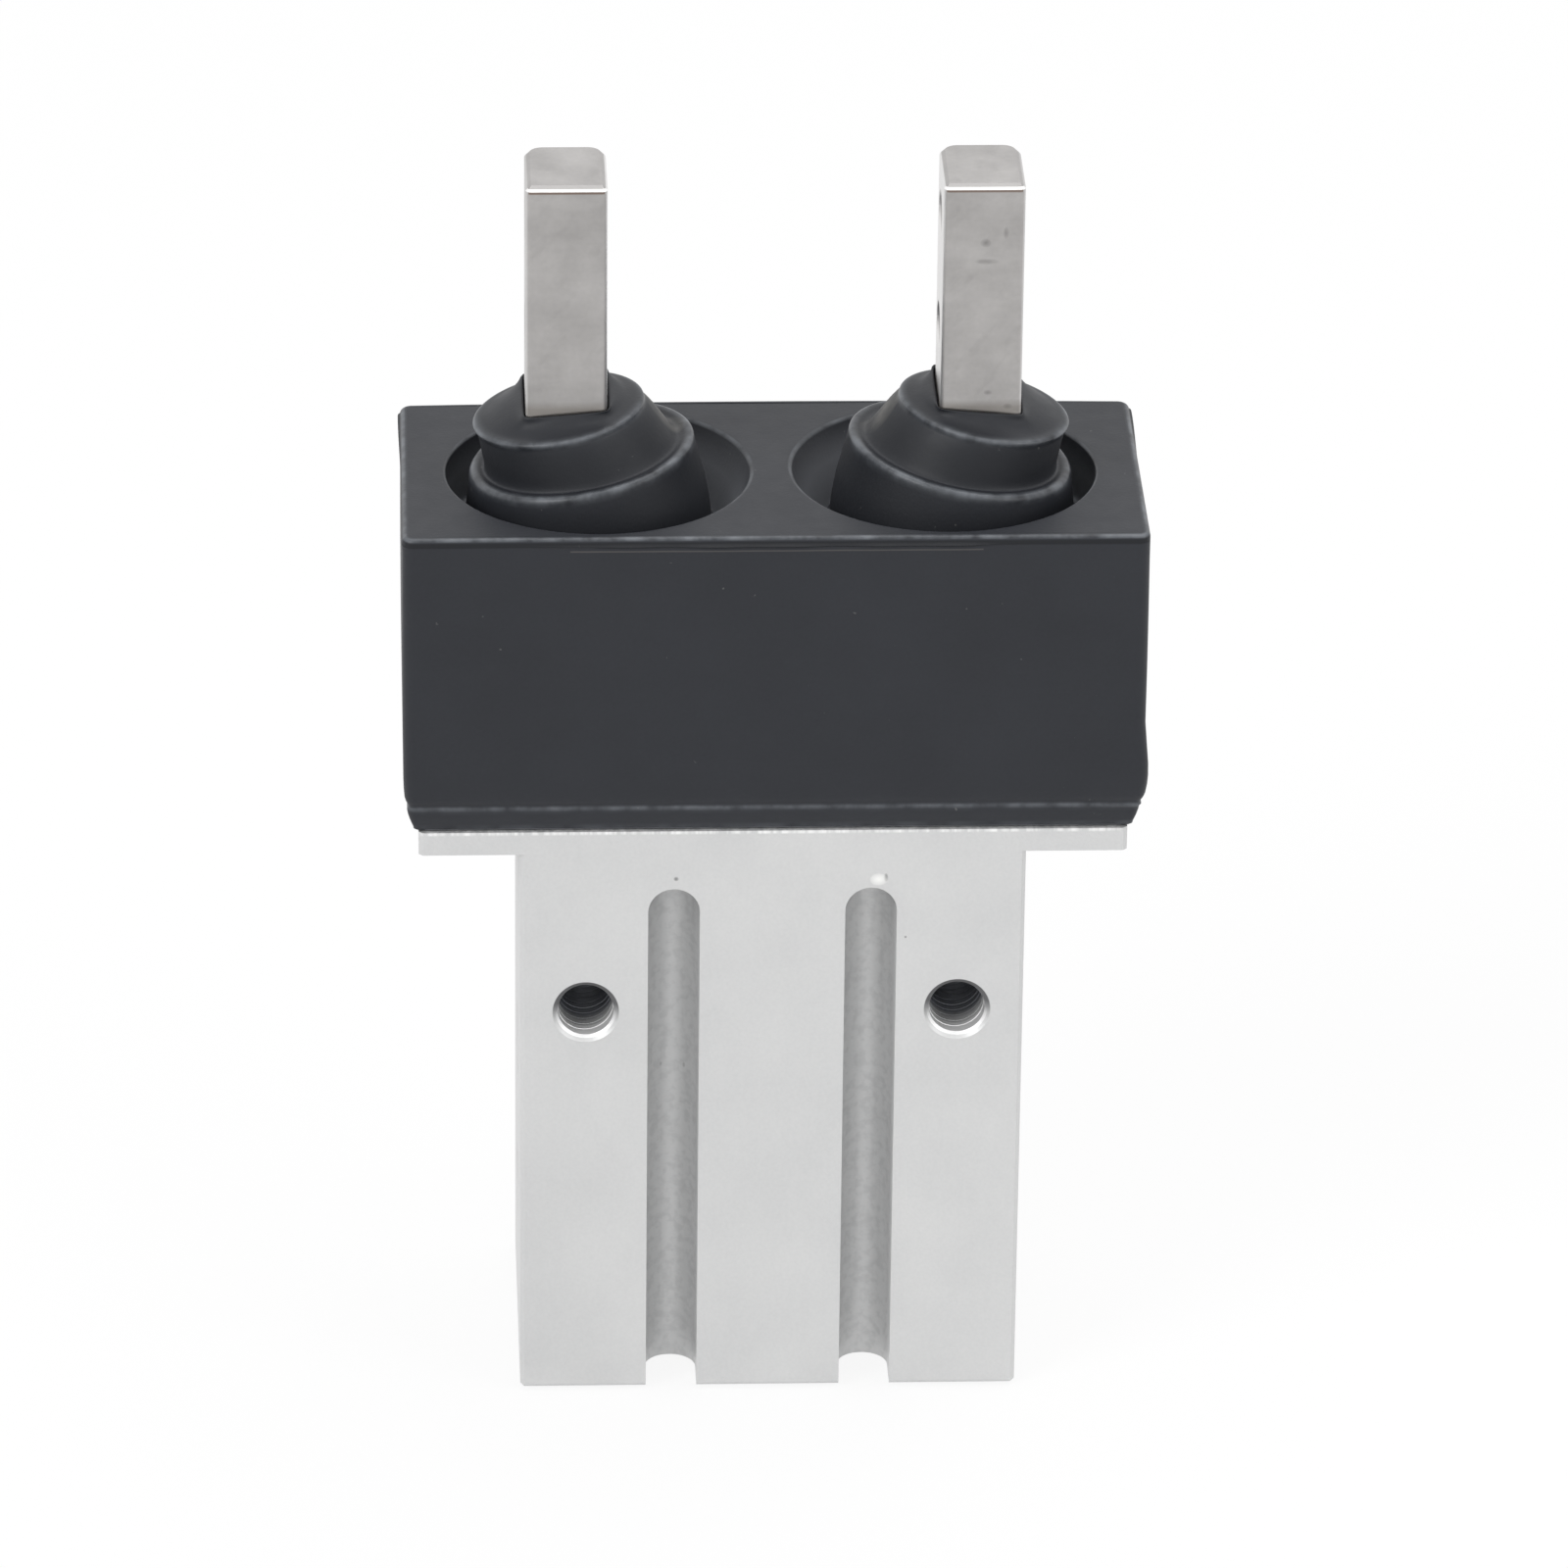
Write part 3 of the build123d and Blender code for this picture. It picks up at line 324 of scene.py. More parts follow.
sealLook = dict(rubberLook, dark=(0.012, 0.012, 0.012), light=(0.028, 0.028, 0.028), rough=0.6)
magnetLook = dict(rubberLook, dark=(0.05, 0.045, 0.045), light=(0.1, 0.09, 0.088), rough=0.65)


def spotMask(tree, place, centre, radius, squeeze=(1, 1, 1)):
    spot = placePattern(tree, softSpot, place, {
        "Centre": tuple(part * mm for part in centre), "Squeeze": squeeze, "Radius": radius * mm,
    })
    return spot["Mask"]


def bandMask(tree, value, middle, halfWidth, soft):
    # 1 inside a band of one coordinate and 0 outside it, with soft ends
    away = mathNode(tree, "ABSOLUTE", mathNode(tree, "SUBTRACT", value, middle * mm), 0.0)
    left = mathNode(tree, "SUBTRACT", halfWidth * mm, away)
    return mathNode(tree, "ADD", mathNode(tree, "DIVIDE", left, soft * mm), 0.5, clamp=True)


def splitPlace(tree, place):
    split = tree.nodes.new("ShaderNodeSeparateXYZ")
    tree.links.new(place, split.inputs[0])
    return split.outputs


# In the marks below, places and widths are in millimetres, a band is its middle, half width and
# soft edge, a contrast is its low end and gain, and a share is how much of a tone is laid on

# Body: satin anodised aluminium, mottled in the grooves, with painted shade deep in the side
# holes and on the upper chamfers, and painted light on the lower wall of each mouth
bodyMarks = {
    "faceY": 9.55, "fadeDepth": 1.2, "grooveBand": (5.97, 1.6, 0.05),
    "grooveLight": (0.82, 0.82, 0.82), "lightShare": 0.25,
    "streakStretch": (1, 1, 0.05), "streakScale": 2400.0, "streakShare": 0.35,
    "blotchScale": 2100.0, "drawnContrast": (0.62, 4.5),
    "drawnTone": (0.33, 0.335, 0.34), "drawnShare": 0.2,
    "specks": [
        ((-5.86, -9.55, 35.09), 0.16, (1, 1, 1)), ((6.84, -9.55, 35.08), 0.24, (1.8, 1, 0.8)),
        ((8.08, -9.55, 31.04), 0.09, (1, 1, 1)), ((-6.6, -6.4, 20.45), 0.3, (2.2, 0.3, 1)),
        ((-5.2, -6.4, 20.4), 0.3, (2.2, 0.3, 1)), ((-6.8, -7.2, 29.7), 0.14, (1, 0.3, 1)),
    ],
    "speckTone": (0.13, 0.13, 0.13), "speckShare": 0.85,
    "scuff": ((6.4, -9.55, 34.95), 0.55, (1, 1, 1.3)),
    "scuffTone": (0.97, 0.97, 0.95), "scuffShare": 0.9,
    "flangeTop": 38.3, "chipBand": (0.05, 0.14, 0.12), "chipContrast": (0.4, 4.0),
    "chipTone": (0.97, 0.97, 0.96), "chipShare": 0.8,
    "holeX": 11.3, "holeZ": 26.1, "holeRadius": 1.86, "holeShadeTone": (0.31, 0.32, 0.35),
    "holeMouth": 7.4, "holeFade": 0.9, "chamferBand": (1.85, 0.16, 0.05), "chamferFade": 1.2,
    "chamferStart": 0.6, "chamferShadeTone": (0.07, 0.07, 0.075), "chamferShadeShare": 0.85,
    "mouthDepth": 1.5, "mouthHighlightTone": (0.86, 0.86, 0.86),
}


def finishBody(name, look, marks):
    material, tree, shader, colour, place = makeFinish(name, look)
    x, y, z = splitPlace(tree, place)
    side = mathNode(tree, "ABSOLUTE", x, 0.0)
    depth = mathNode(tree, "ABSOLUTE", y, 0.0)
    inside = mathNode(tree, "SUBTRACT", marks["faceY"] * mm, depth)
    deep = mathNode(tree, "DIVIDE", inside, marks["fadeDepth"] * mm, clamp=True)
    inGroove = times(tree, bandMask(tree, side, *marks["grooveBand"]), deep)
    colour = paint(tree, colour, inGroove, marks["lightShare"], marks["grooveLight"])
    streaks = placePattern(tree, groundLines, place, {
        "Stretch": marks["streakStretch"], "Scale": marks["streakScale"],
    })
    blotches = placePattern(tree, softMottle, place, {"Fine Scale": marks["blotchScale"]})
    drawn = times(tree, streaks["Lines"], marks["streakShare"])
    drawn = mathNode(tree, "ADD", blotches["Fine"], drawn)
    drawn = times(tree, contrast(tree, drawn, *marks["drawnContrast"]), inGroove)
    colour = paint(tree, colour, drawn, marks["drawnShare"], marks["drawnTone"])
    for centre, radius, squeeze in marks["specks"]:
        speck = spotMask(tree, place, centre, radius, squeeze)
        colour = paint(tree, colour, speck, marks["speckShare"], marks["speckTone"])
    scuff = spotMask(tree, place, *marks["scuff"])
    colour = paint(tree, colour, scuff, marks["scuffShare"], marks["scuffTone"])
    # bright chips along the top edge of the flange
    belowTop = mathNode(tree, "SUBTRACT", marks["flangeTop"] * mm, z)
    chips = contrast(tree, streaks["Lines"], *marks["chipContrast"])
    chips = times(tree, chips, bandMask(tree, belowTop, *marks["chipBand"]))
    colour = paint(tree, colour, chips, marks["chipShare"], marks["chipTone"])
    # distance from the axis of the nearer side hole
    acrossX = mathNode(tree, "SUBTRACT", side, marks["holeX"] * mm)
    acrossZ = mathNode(tree, "SUBTRACT", z, marks["holeZ"] * mm)
    fromAxis = radiusOf(tree, acrossX, acrossZ)
    # the inner half of the chamfer gets painted shade above the axis, fading out below it, as if
    # the bore were wider
    above = mathNode(tree, "DIVIDE", acrossZ, marks["chamferFade"] * mm)
    above = mathNode(tree, "ADD", above, marks["chamferStart"], clamp=True)
    above = times(tree, bandMask(tree, fromAxis, *marks["chamferBand"]), above)
    colour = paint(tree, colour, above, marks["chamferShadeShare"], marks["chamferShadeTone"])
    # painted shade deep inside the side holes, past the mouth
    nearAxis = mathNode(tree, "LESS_THAN", fromAxis, marks["holeRadius"] * mm)
    pastMouth = mathNode(tree, "SUBTRACT", marks["holeMouth"] * mm, depth)
    pastMouth = mathNode(tree, "DIVIDE", pastMouth, marks["holeFade"] * mm, clamp=True)
    colour = mixColour(tree, times(tree, nearAxis, pastMouth), colour, marks["holeShadeTone"])
    # painted light on the lower wall just inside the mouth
    litLowWall = mathNode(tree, "MULTIPLY", acrossZ, -1 / mm, clamp=True)
    justInside = mathNode(tree, "LESS_THAN", inside, marks["mouthDepth"] * mm)
    litLowWall = times(tree, times(tree, litLowWall, justInside), nearAxis)
    colour = mixColour(tree, litLowWall, colour, marks["mouthHighlightTone"])
    tree.links.new(colour, shader.inputs["Base Color"])
    return material


# Fingers: ground steel with painted highlights on the tip's rim and long sides, a painted dark
# reflection line under the tip, painted shade at the root, and a few scratches
fingerMarks = {
    "tip": 77.728, "rim": 0.34, "front": -3.26,
    "slantTurn": -42, "slantStretch": (1.0, 0.3, 0.35), "slantScale": 1100.0,
    "slantContrast": (0.56, 5.0), "slantTone": (0.24, 0.23, 0.225), "slantShare": 0.22,
    "rimHighlightTone": (0.95, 0.94, 0.93), "rimHighlightShare": 0.9,
    "upperPart": 0.55, "upperShadeTone": (0.3, 0.29, 0.285), "upperShadeShare": 0.85,
    "darkReflectionBand": (0.4, 0.07, 0.08), "darkReflectionDepth": 0.05, "darkReflectionTone": (0.16, 0.1, 0.07),
    "darkReflectionShare": 0.8,
    "sideHighlights": (((9.96, 0.12, 0.06), 0.65), ((14.84, 0.12, 0.06), 0.3)),
    "sideHighlightTone": (0.93, 0.925, 0.92),
    "rootShadeBand": (63.2, 0.4, 0.5), "rootShadeTone": (0.2, 0.18, 0.155), "rootShadeShare": 0.55,
    "scratches": [
        ((13.7, -3.26, 74.65), 0.4, (2.4, 1, 1)), ((12.5, -3.26, 74.0), 0.34, (1, 1, 1.2)),
        ((12.6, -3.26, 72.8), 0.75, (1, 1, 4)), ((14.0, -3.26, 63.4), 0.3, (1, 1, 1.6)),
        ((12.8, -3.26, 64.3), 0.26, (1, 1, 1.4)),
    ],
    "scratchTone": (0.1, 0.098, 0.095), "scratchShare": 0.75,
}


def finishFingers(name, look, marks):
    material, tree, shader, colour, place = makeFinish(name, look)
    x, y, z = splitPlace(tree, place)
    turn = tree.nodes.new("ShaderNodeMapping")
    turn.inputs["Rotation"].default_value = (0, math.radians(marks["slantTurn"]), 0)
    tree.links.new(place, turn.inputs["Vector"])
    slant = placePattern(tree, groundLines, turn.outputs["Vector"], {
        "Stretch": marks["slantStretch"], "Scale": marks["slantScale"],
    })
    faint = contrast(tree, slant["Lines"], *marks["slantContrast"])
    colour = paint(tree, colour, faint, marks["slantShare"], marks["slantTone"])
    # painted highlight on the rim of the tip, with painted shade on its upper part and a painted
    # dark reflection line below it
    below = mathNode(tree, "SUBTRACT", marks["tip"] * mm, z)
    front = mathNode(tree, "SUBTRACT", y, marks["front"] * mm)
    onRim = times(
        tree, mathNode(tree, "LESS_THAN", below, marks["rim"] * mm),
        mathNode(tree, "LESS_THAN", front, marks["rim"] * mm),
    )
    colour = paint(tree, colour, onRim, marks["rimHighlightShare"], marks["rimHighlightTone"])
    upper = mathNode(tree, "LESS_THAN", below, marks["rim"] * marks["upperPart"] * mm)
    upper = times(tree, onRim, upper)
    colour = paint(tree, colour, upper, marks["upperShadeShare"], marks["upperShadeTone"])
    # painted dark reflection line under the tip's rim
    darkReflection = times(
        tree, bandMask(tree, below, *marks["darkReflectionBand"]),
        mathNode(tree, "LESS_THAN", front, marks["darkReflectionDepth"] * mm),
    )
    colour = paint(tree, colour, darkReflection, marks["darkReflectionShare"], marks["darkReflectionTone"])
    # painted highlights on the long side faces, painted shade at the root, and scratches on the
    # right finger
    side = mathNode(tree, "ABSOLUTE", x, 0.0)
    for band, share in marks["sideHighlights"]:
        colour = paint(tree, colour, bandMask(tree, side, *band), share, marks["sideHighlightTone"])
    # painted shade where the finger stands in the bellows
    rootShade = bandMask(tree, z, *marks["rootShadeBand"])
    colour = paint(tree, colour, rootShade, marks["rootShadeShare"], marks["rootShadeTone"])
    for centre, radius, squeeze in marks["scratches"]:
        scratch = times(tree, spotMask(tree, place, centre, radius, squeeze), slant["Lines"])
        colour = paint(tree, colour, scratch, marks["scratchShare"], marks["scratchTone"])
    tree.links.new(colour, shader.inputs["Base Color"])
    return material


# Rubber: near-black and bluish, smoother on its rims, with painted highlights on rims and spots,
# painted light on the well walls, painted shade in folds and creases, and a few dust specks
rubberMarks = {
    "wellX": 11.2, "wellTop": 57.8, "wellFade": 1.6, "wellRadius": 7.95, "wellDepth": 9.4,
    "wellEnd": 21.0, "wellFillLightTone": (0.14, 0.146, 0.16), "shadeTone": (0.006, 0.007, 0.0095),
    "frontY": -9.8, "seamBand": (57.1, 0.05, 0.05), "seamEnd": 12.3,
    "seamTone": (0.075, 0.071, 0.07), "seamShare": 0.8,
    "creaseShadeBand": (57.55, 0.12, 0.1), "creaseShadeShare": 0.85,
    "bellowsZ": 58.3, "bellowsFade": 1.0, "bellowsShare": 0.38,
    "patchScale": 700.0, "patchContrast": (0.3, 3.0),
    "rimHighlightTone": (0.13, 0.14, 0.155), "rimSmooth": -0.16,
    "paintedHighlightSpots": ((-6.75, 1.2, 61.3), (7.05, 0.8, 61.2)), "highlightSpotRadius": 1.9,
    "highlightSpotTone": (0.27, 0.26, 0.24), "highlightSpotShare": 0.75,
    "dustScale": 1800.0, "dustContrast": (0.75, 20.0), "dustTone": (0.2, 0.2, 0.19),
    "dustShare": 0.35,
}


def finishRubber(name, look, marks):
    material, tree, shader, colour, place = makeFinish(name, look)
    x, y, z = splitPlace(tree, place)
    side = mathNode(tree, "ABSOLUTE", x, 0.0)
    # painted light on the walls of the wells lifts their shade, so they are lighter than what
    # stands in them
    fromAxis = radiusOf(tree, mathNode(tree, "SUBTRACT", side, marks["wellX"] * mm), y)
    depth = mathNode(tree, "SUBTRACT", marks["wellTop"] * mm, z)
    depth = mathNode(tree, "DIVIDE", depth, marks["wellFade"] * mm, clamp=True)
    across = mathNode(tree, "ABSOLUTE", y, 0.0)
    onWall = times(
        tree, mathNode(tree, "GREATER_THAN", fromAxis, marks["wellRadius"] * mm),
        mathNode(tree, "LESS_THAN", across, marks["wellDepth"] * mm),
    )
    onWall = times(tree, onWall, mathNode(tree, "LESS_THAN", side, marks["wellEnd"] * mm))
    colour = mixColour(tree, times(tree, onWall, depth), colour, marks["wellFillLightTone"])
    # a pale seam and painted shade in a crease along the upper front edge
    onFront = mathNode(tree, "LESS_THAN", y, marks["frontY"] * mm)
    seam = times(tree, bandMask(tree, z, *marks["seamBand"]), onFront)
    seam = times(tree, seam, mathNode(tree, "LESS_THAN", side, marks["seamEnd"] * mm))
    colour = paint(tree, colour, seam, marks["seamShare"], marks["seamTone"])
    crease = times(tree, bandMask(tree, z, *marks["creaseShadeBand"]), onFront)
    colour = paint(tree, colour, crease, marks["creaseShadeShare"], marks["shadeTone"])
    # the bellows are darker than the cover
    bellowsPart = mathNode(tree, "SUBTRACT", z, marks["bellowsZ"] * mm)
    bellowsPart = mathNode(tree, "DIVIDE", bellowsPart, marks["bellowsFade"] * mm, clamp=True)
    colour = paint(tree, colour, bellowsPart, marks["bellowsShare"], marks["shadeTone"])
    # painted highlights on rims and spots, painted shade in folds, and dust
    rim = tree.nodes.new("ShaderNodeAttribute")
    rim.attribute_name = "rim"
    rimLightAndShade = rim.outputs["Fac"]
    uneven = placePattern(tree, softMottle, place, {
        "Scale": marks["patchScale"], "Fine Scale": marks["dustScale"],
    })
    patchy = contrast(tree, uneven["Broad"], *marks["patchContrast"])
    paintedRimHighlight = mathNode(tree, "MULTIPLY", rimLightAndShade, patchy, clamp=True)
    colour = mixColour(tree, paintedRimHighlight, colour, marks["rimHighlightTone"])
    # painted highlight spots on the inner flanks of the necks
    for centre in marks["paintedHighlightSpots"]:
        paintedHighlightSpots = times(tree, spotMask(tree, place, centre, marks["highlightSpotRadius"]), patchy)
        colour = paint(tree, colour, paintedHighlightSpots, marks["highlightSpotShare"], marks["highlightSpotTone"])
    # painted shade where the rim value is below 0
    shade = mathNode(tree, "MULTIPLY", rimLightAndShade, -1.0, clamp=True)
    colour = mixColour(tree, shade, colour, marks["shadeTone"])
    dust = contrast(tree, uneven["Fine"], *marks["dustContrast"])
    colour = paint(tree, colour, dust, marks["dustShare"], marks["dustTone"])
    tree.links.new(colour, shader.inputs["Base Color"])
    spread = times(tree, uneven["Broad"], look["roughSpread"])
    rough = mathNode(tree, "ADD", spread, look["rough"] - look["roughSpread"] / 2)
    rough = mathNode(tree, "ADD", rough, times(tree, rimLightAndShade, marks["rimSmooth"]))
    tree.links.new(rough, shader.inputs["Roughness"])
    return material


anodised = finishBody("anodisedAluminium", anodisedLook, bodyMarks)
fingerSteel = finishFingers("fingerSteel", fingerLook, fingerMarks)
coverRubber = finishRubber("coverRubber", rubberLook, rubberMarks)
groundSteel = makeFinish("groundSteel", guideLook)[0]
blackSteel = makeFinish("blackSteel", blackSteelLook)[0]
polishedSteel = makeFinish("polishedSteel", polishedLook)[0]
turnedAluminium = makeFinish("turnedAluminium", turnedLook)[0]
retainerBrass = makeFinish("retainerBrass", brassLook)[0]
sealRubber = makeFinish("sealRubber", sealLook)[0]
magnetRubber = makeFinish("magnetRubber", magnetLook)[0]

nodeFinishes = {
    "body": anodised, "guide": groundSteel, "left_finger": fingerSteel,
    "right_finger": fingerSteel, "left_lever": groundSteel, "right_lever": groundSteel,
    "lever_shafts": polishedSteel, "centre_pin": polishedSteel, "left_rollers": polishedSteel,
    "right_rollers": polishedSteel, "left_roller_stops": polishedSteel,
    "right_roller_stops": polishedSteel, "guide_dowels": polishedSteel,
    "guide_screws": blackSteel, "piston_rod": polishedSteel, "piston": turnedAluminium,
    "end_cap": turnedAluminium, "retaining_ring": blackSteel, "seal_retainer": retainerBrass,
    "dust_cover": coverRubber, "left_bellows": coverRubber, "right_bellows": coverRubber,
    "rod_seal": sealRubber, "piston_seal": sealRubber, "cap_gasket": sealRubber,
    "bumper": sealRubber, "magnet_ring": magnetRubber,
}
for nodeName, finish in nodeFinishes.items():
    nodes[nodeName].data.materials.clear()
    nodes[nodeName].data.materials.append(finish)
print("Finishes on", len(nodeFinishes), "pieces")


# Dust cover: moulded rubber hood with a flash line and crease below its top edge and a lip at
# its foot. Each profile row is height above the foot, distance out of the wall, and rim value:
# painted highlight above 0, painted shade below 0. Each row at the foot of a well is its share
# of the depth, growth, height and painted highlight.
coverSizes = {
    "halfLength": 22.3, "halfDepth": 10.02, "foot": 38.3, "top": 57.9, "corner": 0.7,
    "cornerLeast": 0.25, "lipRise": 1.5, "creaseAngle": 50,
    "ceiling": 53.0, "innerHalfLength": 20.5, "innerHalfDepth": 8.6, "innerCorner": 0.3,
    "wellTopX": 10.4, "wellTopRadius": 9.2, "wellBottomX": 11.4, "wellBottomRadius": 8.1,
    "wellFloor": 54.2, "wellHole": 7.3, "circlePoints": 120,
    "longSteps": 64, "shortSteps": 28, "cornerSteps": 8,
    "rimRounding": 0.2, "rimLand": 0.15, "rimSteps": 6, "rimHighlightAmount": 0.6,
    "wellShares": (0.15, 0.3, 0.45, 0.6, 0.75, 0.88, 0.95),
    "wellFoot": ((0.985, -0.05, 0.055, 0.3), (1.0, -0.2, 0, 0.3)),
    "profile": [
        (0.0, -1.0, 0), (0.03, -0.86, 0), (0.1, -0.72, 0.1), (0.22, -0.59, 0.3),
        (0.38, -0.56, 0.2), (0.6, -0.48, 0), (0.9, -0.37, 0), (1.25, -0.26, 0),
        (1.5, -0.21, 0.1), (1.64, -0.21, 0.6), (1.73, -0.26, 0.8), (1.82, -0.29, 0.3),
        (1.95, -0.24, 0), (2.12, -0.14, 0), (2.4, -0.06, 0), (3.0, -0.015, 0), (3.6, 0, 0),
        (4.4, 0, 0), (5.4, 0, 0), (7.0, 0, 0), (9.0, 0, 0), (11.0, 0, 0), (13.0, 0, 0),
        (15.0, 0, 0), (16.8, 0, 0), (18.0, 0, 0), (18.4, 0, 0), (18.6, 0, 0), (18.7, 0, 0),
        (18.8, 0, 0),
        (18.9, 0, 0), (19.0, 0, 0), (19.05, 0, -0.3), (19.1, 0, -0.8), (19.15, 0, -0.6),
        (19.2, 0, -0.3), (19.28, 0, -0.3), (19.34, -0.005, -0.2), (19.41, -0.025, 0.1),
        (19.47, -0.06, 0.7), (19.53, -0.115, 1), (19.57, -0.175, 1), (19.593, -0.24, 0.8),
        (19.6, -0.32, 0.2), (19.6, -0.45, 0),
    ],
    "flashHeight": 57.15, "flashProud": 0.12, "flashWidth": 0.1,
    "flashStart": -11, "startFade": 0.8, "flashLeast": 0.15, "flashEnd": 12.5, "endFade": 1.2,
    "flashBack": 0.8, "backFade": 9,
    "creaseRise": 0.25, "creaseDepth": 0.26, "creaseWidth": 0.075,
    "waves": ((0.9, 1.3), (0.37, 0.4)), "waveShare": 0.3,
    "bulge": 0.26, "bulgeHeight": 42.2, "bulgeWidth": 2.3, "bulgeFrom": 18.3, "bulgeFade": 3.9,
    "hollow": 0.03, "hollowFoot": 41, "hollowHeight": 15,
    "crown": 0.16, "crownFrom": 50, "crownBack": 0.4,
}


def rectangleRing(halfX, halfY, corner, z, size):
    cornerSteps = size["cornerSteps"]
    points = []
    for signX, signY, start in ((1, -1, -90), (1, 1, 0), (-1, 1, 90), (-1, -1, 180)):
        centre = (signX * (halfX - corner), signY * (halfY - corner))
        for step in range(cornerSteps + 1):
            angle = math.radians(start + 90 * step / cornerSteps)
            points.append((
                centre[0] + corner * math.cos(angle), centre[1] + corner * math.sin(angle), z,
            ))
        onEnd = signX * signY < 0
        steps = size["shortSteps"] if onEnd else size["longSteps"]
        lastX, lastY = points[-1][:2]
        target = (lastX, -lastY) if onEnd else (-lastX, lastY)
        for step in range(1, steps):
            t = step / steps
            points.append((
                lastX + (target[0] - lastX) * t, lastY + (target[1] - lastY) * t, z,
            ))
    return points


def circleRing(centreX, radius, z, count):
    return [
        (centreX + radius * math.cos(2 * math.pi * k / count),
         radius * math.sin(2 * math.pi * k / count), z)
        for k in range(count)
    ]


def smoothStep(value):
    share = min(max(value, 0), 1)
    return share ** 2 * (3 - 2 * share)


def wallOffset(x, y, z, size):
    # How far the outer wall stands out of its plane: flash line and crease, hollow, soft bulge
    flash = math.exp(-((z - size["flashHeight"]) / size["flashWidth"]) ** 2)
    crease = z - size["flashHeight"] - size["creaseRise"]
    crease = size["creaseDepth"] * math.exp(-(crease / size["creaseWidth"]) ** 2)
    # along the front the flash starts low, is full in the middle and fades out
    front = 1 / (1 + math.exp((size["flashStart"] - x) * size["startFade"]))
    front = front * (1 - size["flashLeast"]) + size["flashLeast"]
    front /= 1 + math.exp((x - size["flashEnd"]) * size["endFade"])
    reach = front + (size["flashBack"] - front) * smoothStep(y / size["backFade"])
    (finePitch, fineStart), (longPitch, longStart) = size["waves"]
    wave = math.sin(finePitch * x + fineStart) * math.sin(longPitch * x + longStart)
    reach *= 1 - size["waveShare"] + size["waveShare"] * wave
    bulge = math.exp(-((z - size["bulgeHeight"]) / size["bulgeWidth"]) ** 2)
    bulge *= smoothStep((x - size["bulgeFrom"]) / size["bulgeFade"])
    rise = min(max((z - size["hollowFoot"]) / size["hollowHeight"], 0), 1)
    return (
        (size["flashProud"] * flash - crease) * reach
        + size["bulge"] * bulge - size["hollow"] * math.sin(math.pi * rise)
    )


def crowned(x, y, z, size):
    # The top bows up a little between its ends, more at the back
    lift = max(0, 1 - (x / size["halfLength"]) ** 2)
    lift *= 1 - size["crownBack"] + size["crownBack"] * y / size["halfDepth"]
    share = min(max((z - size["crownFrom"]) / (size["top"] - size["crownFrom"]), 0), 1) ** 3
    return x, y, z + size["crown"] * lift * share


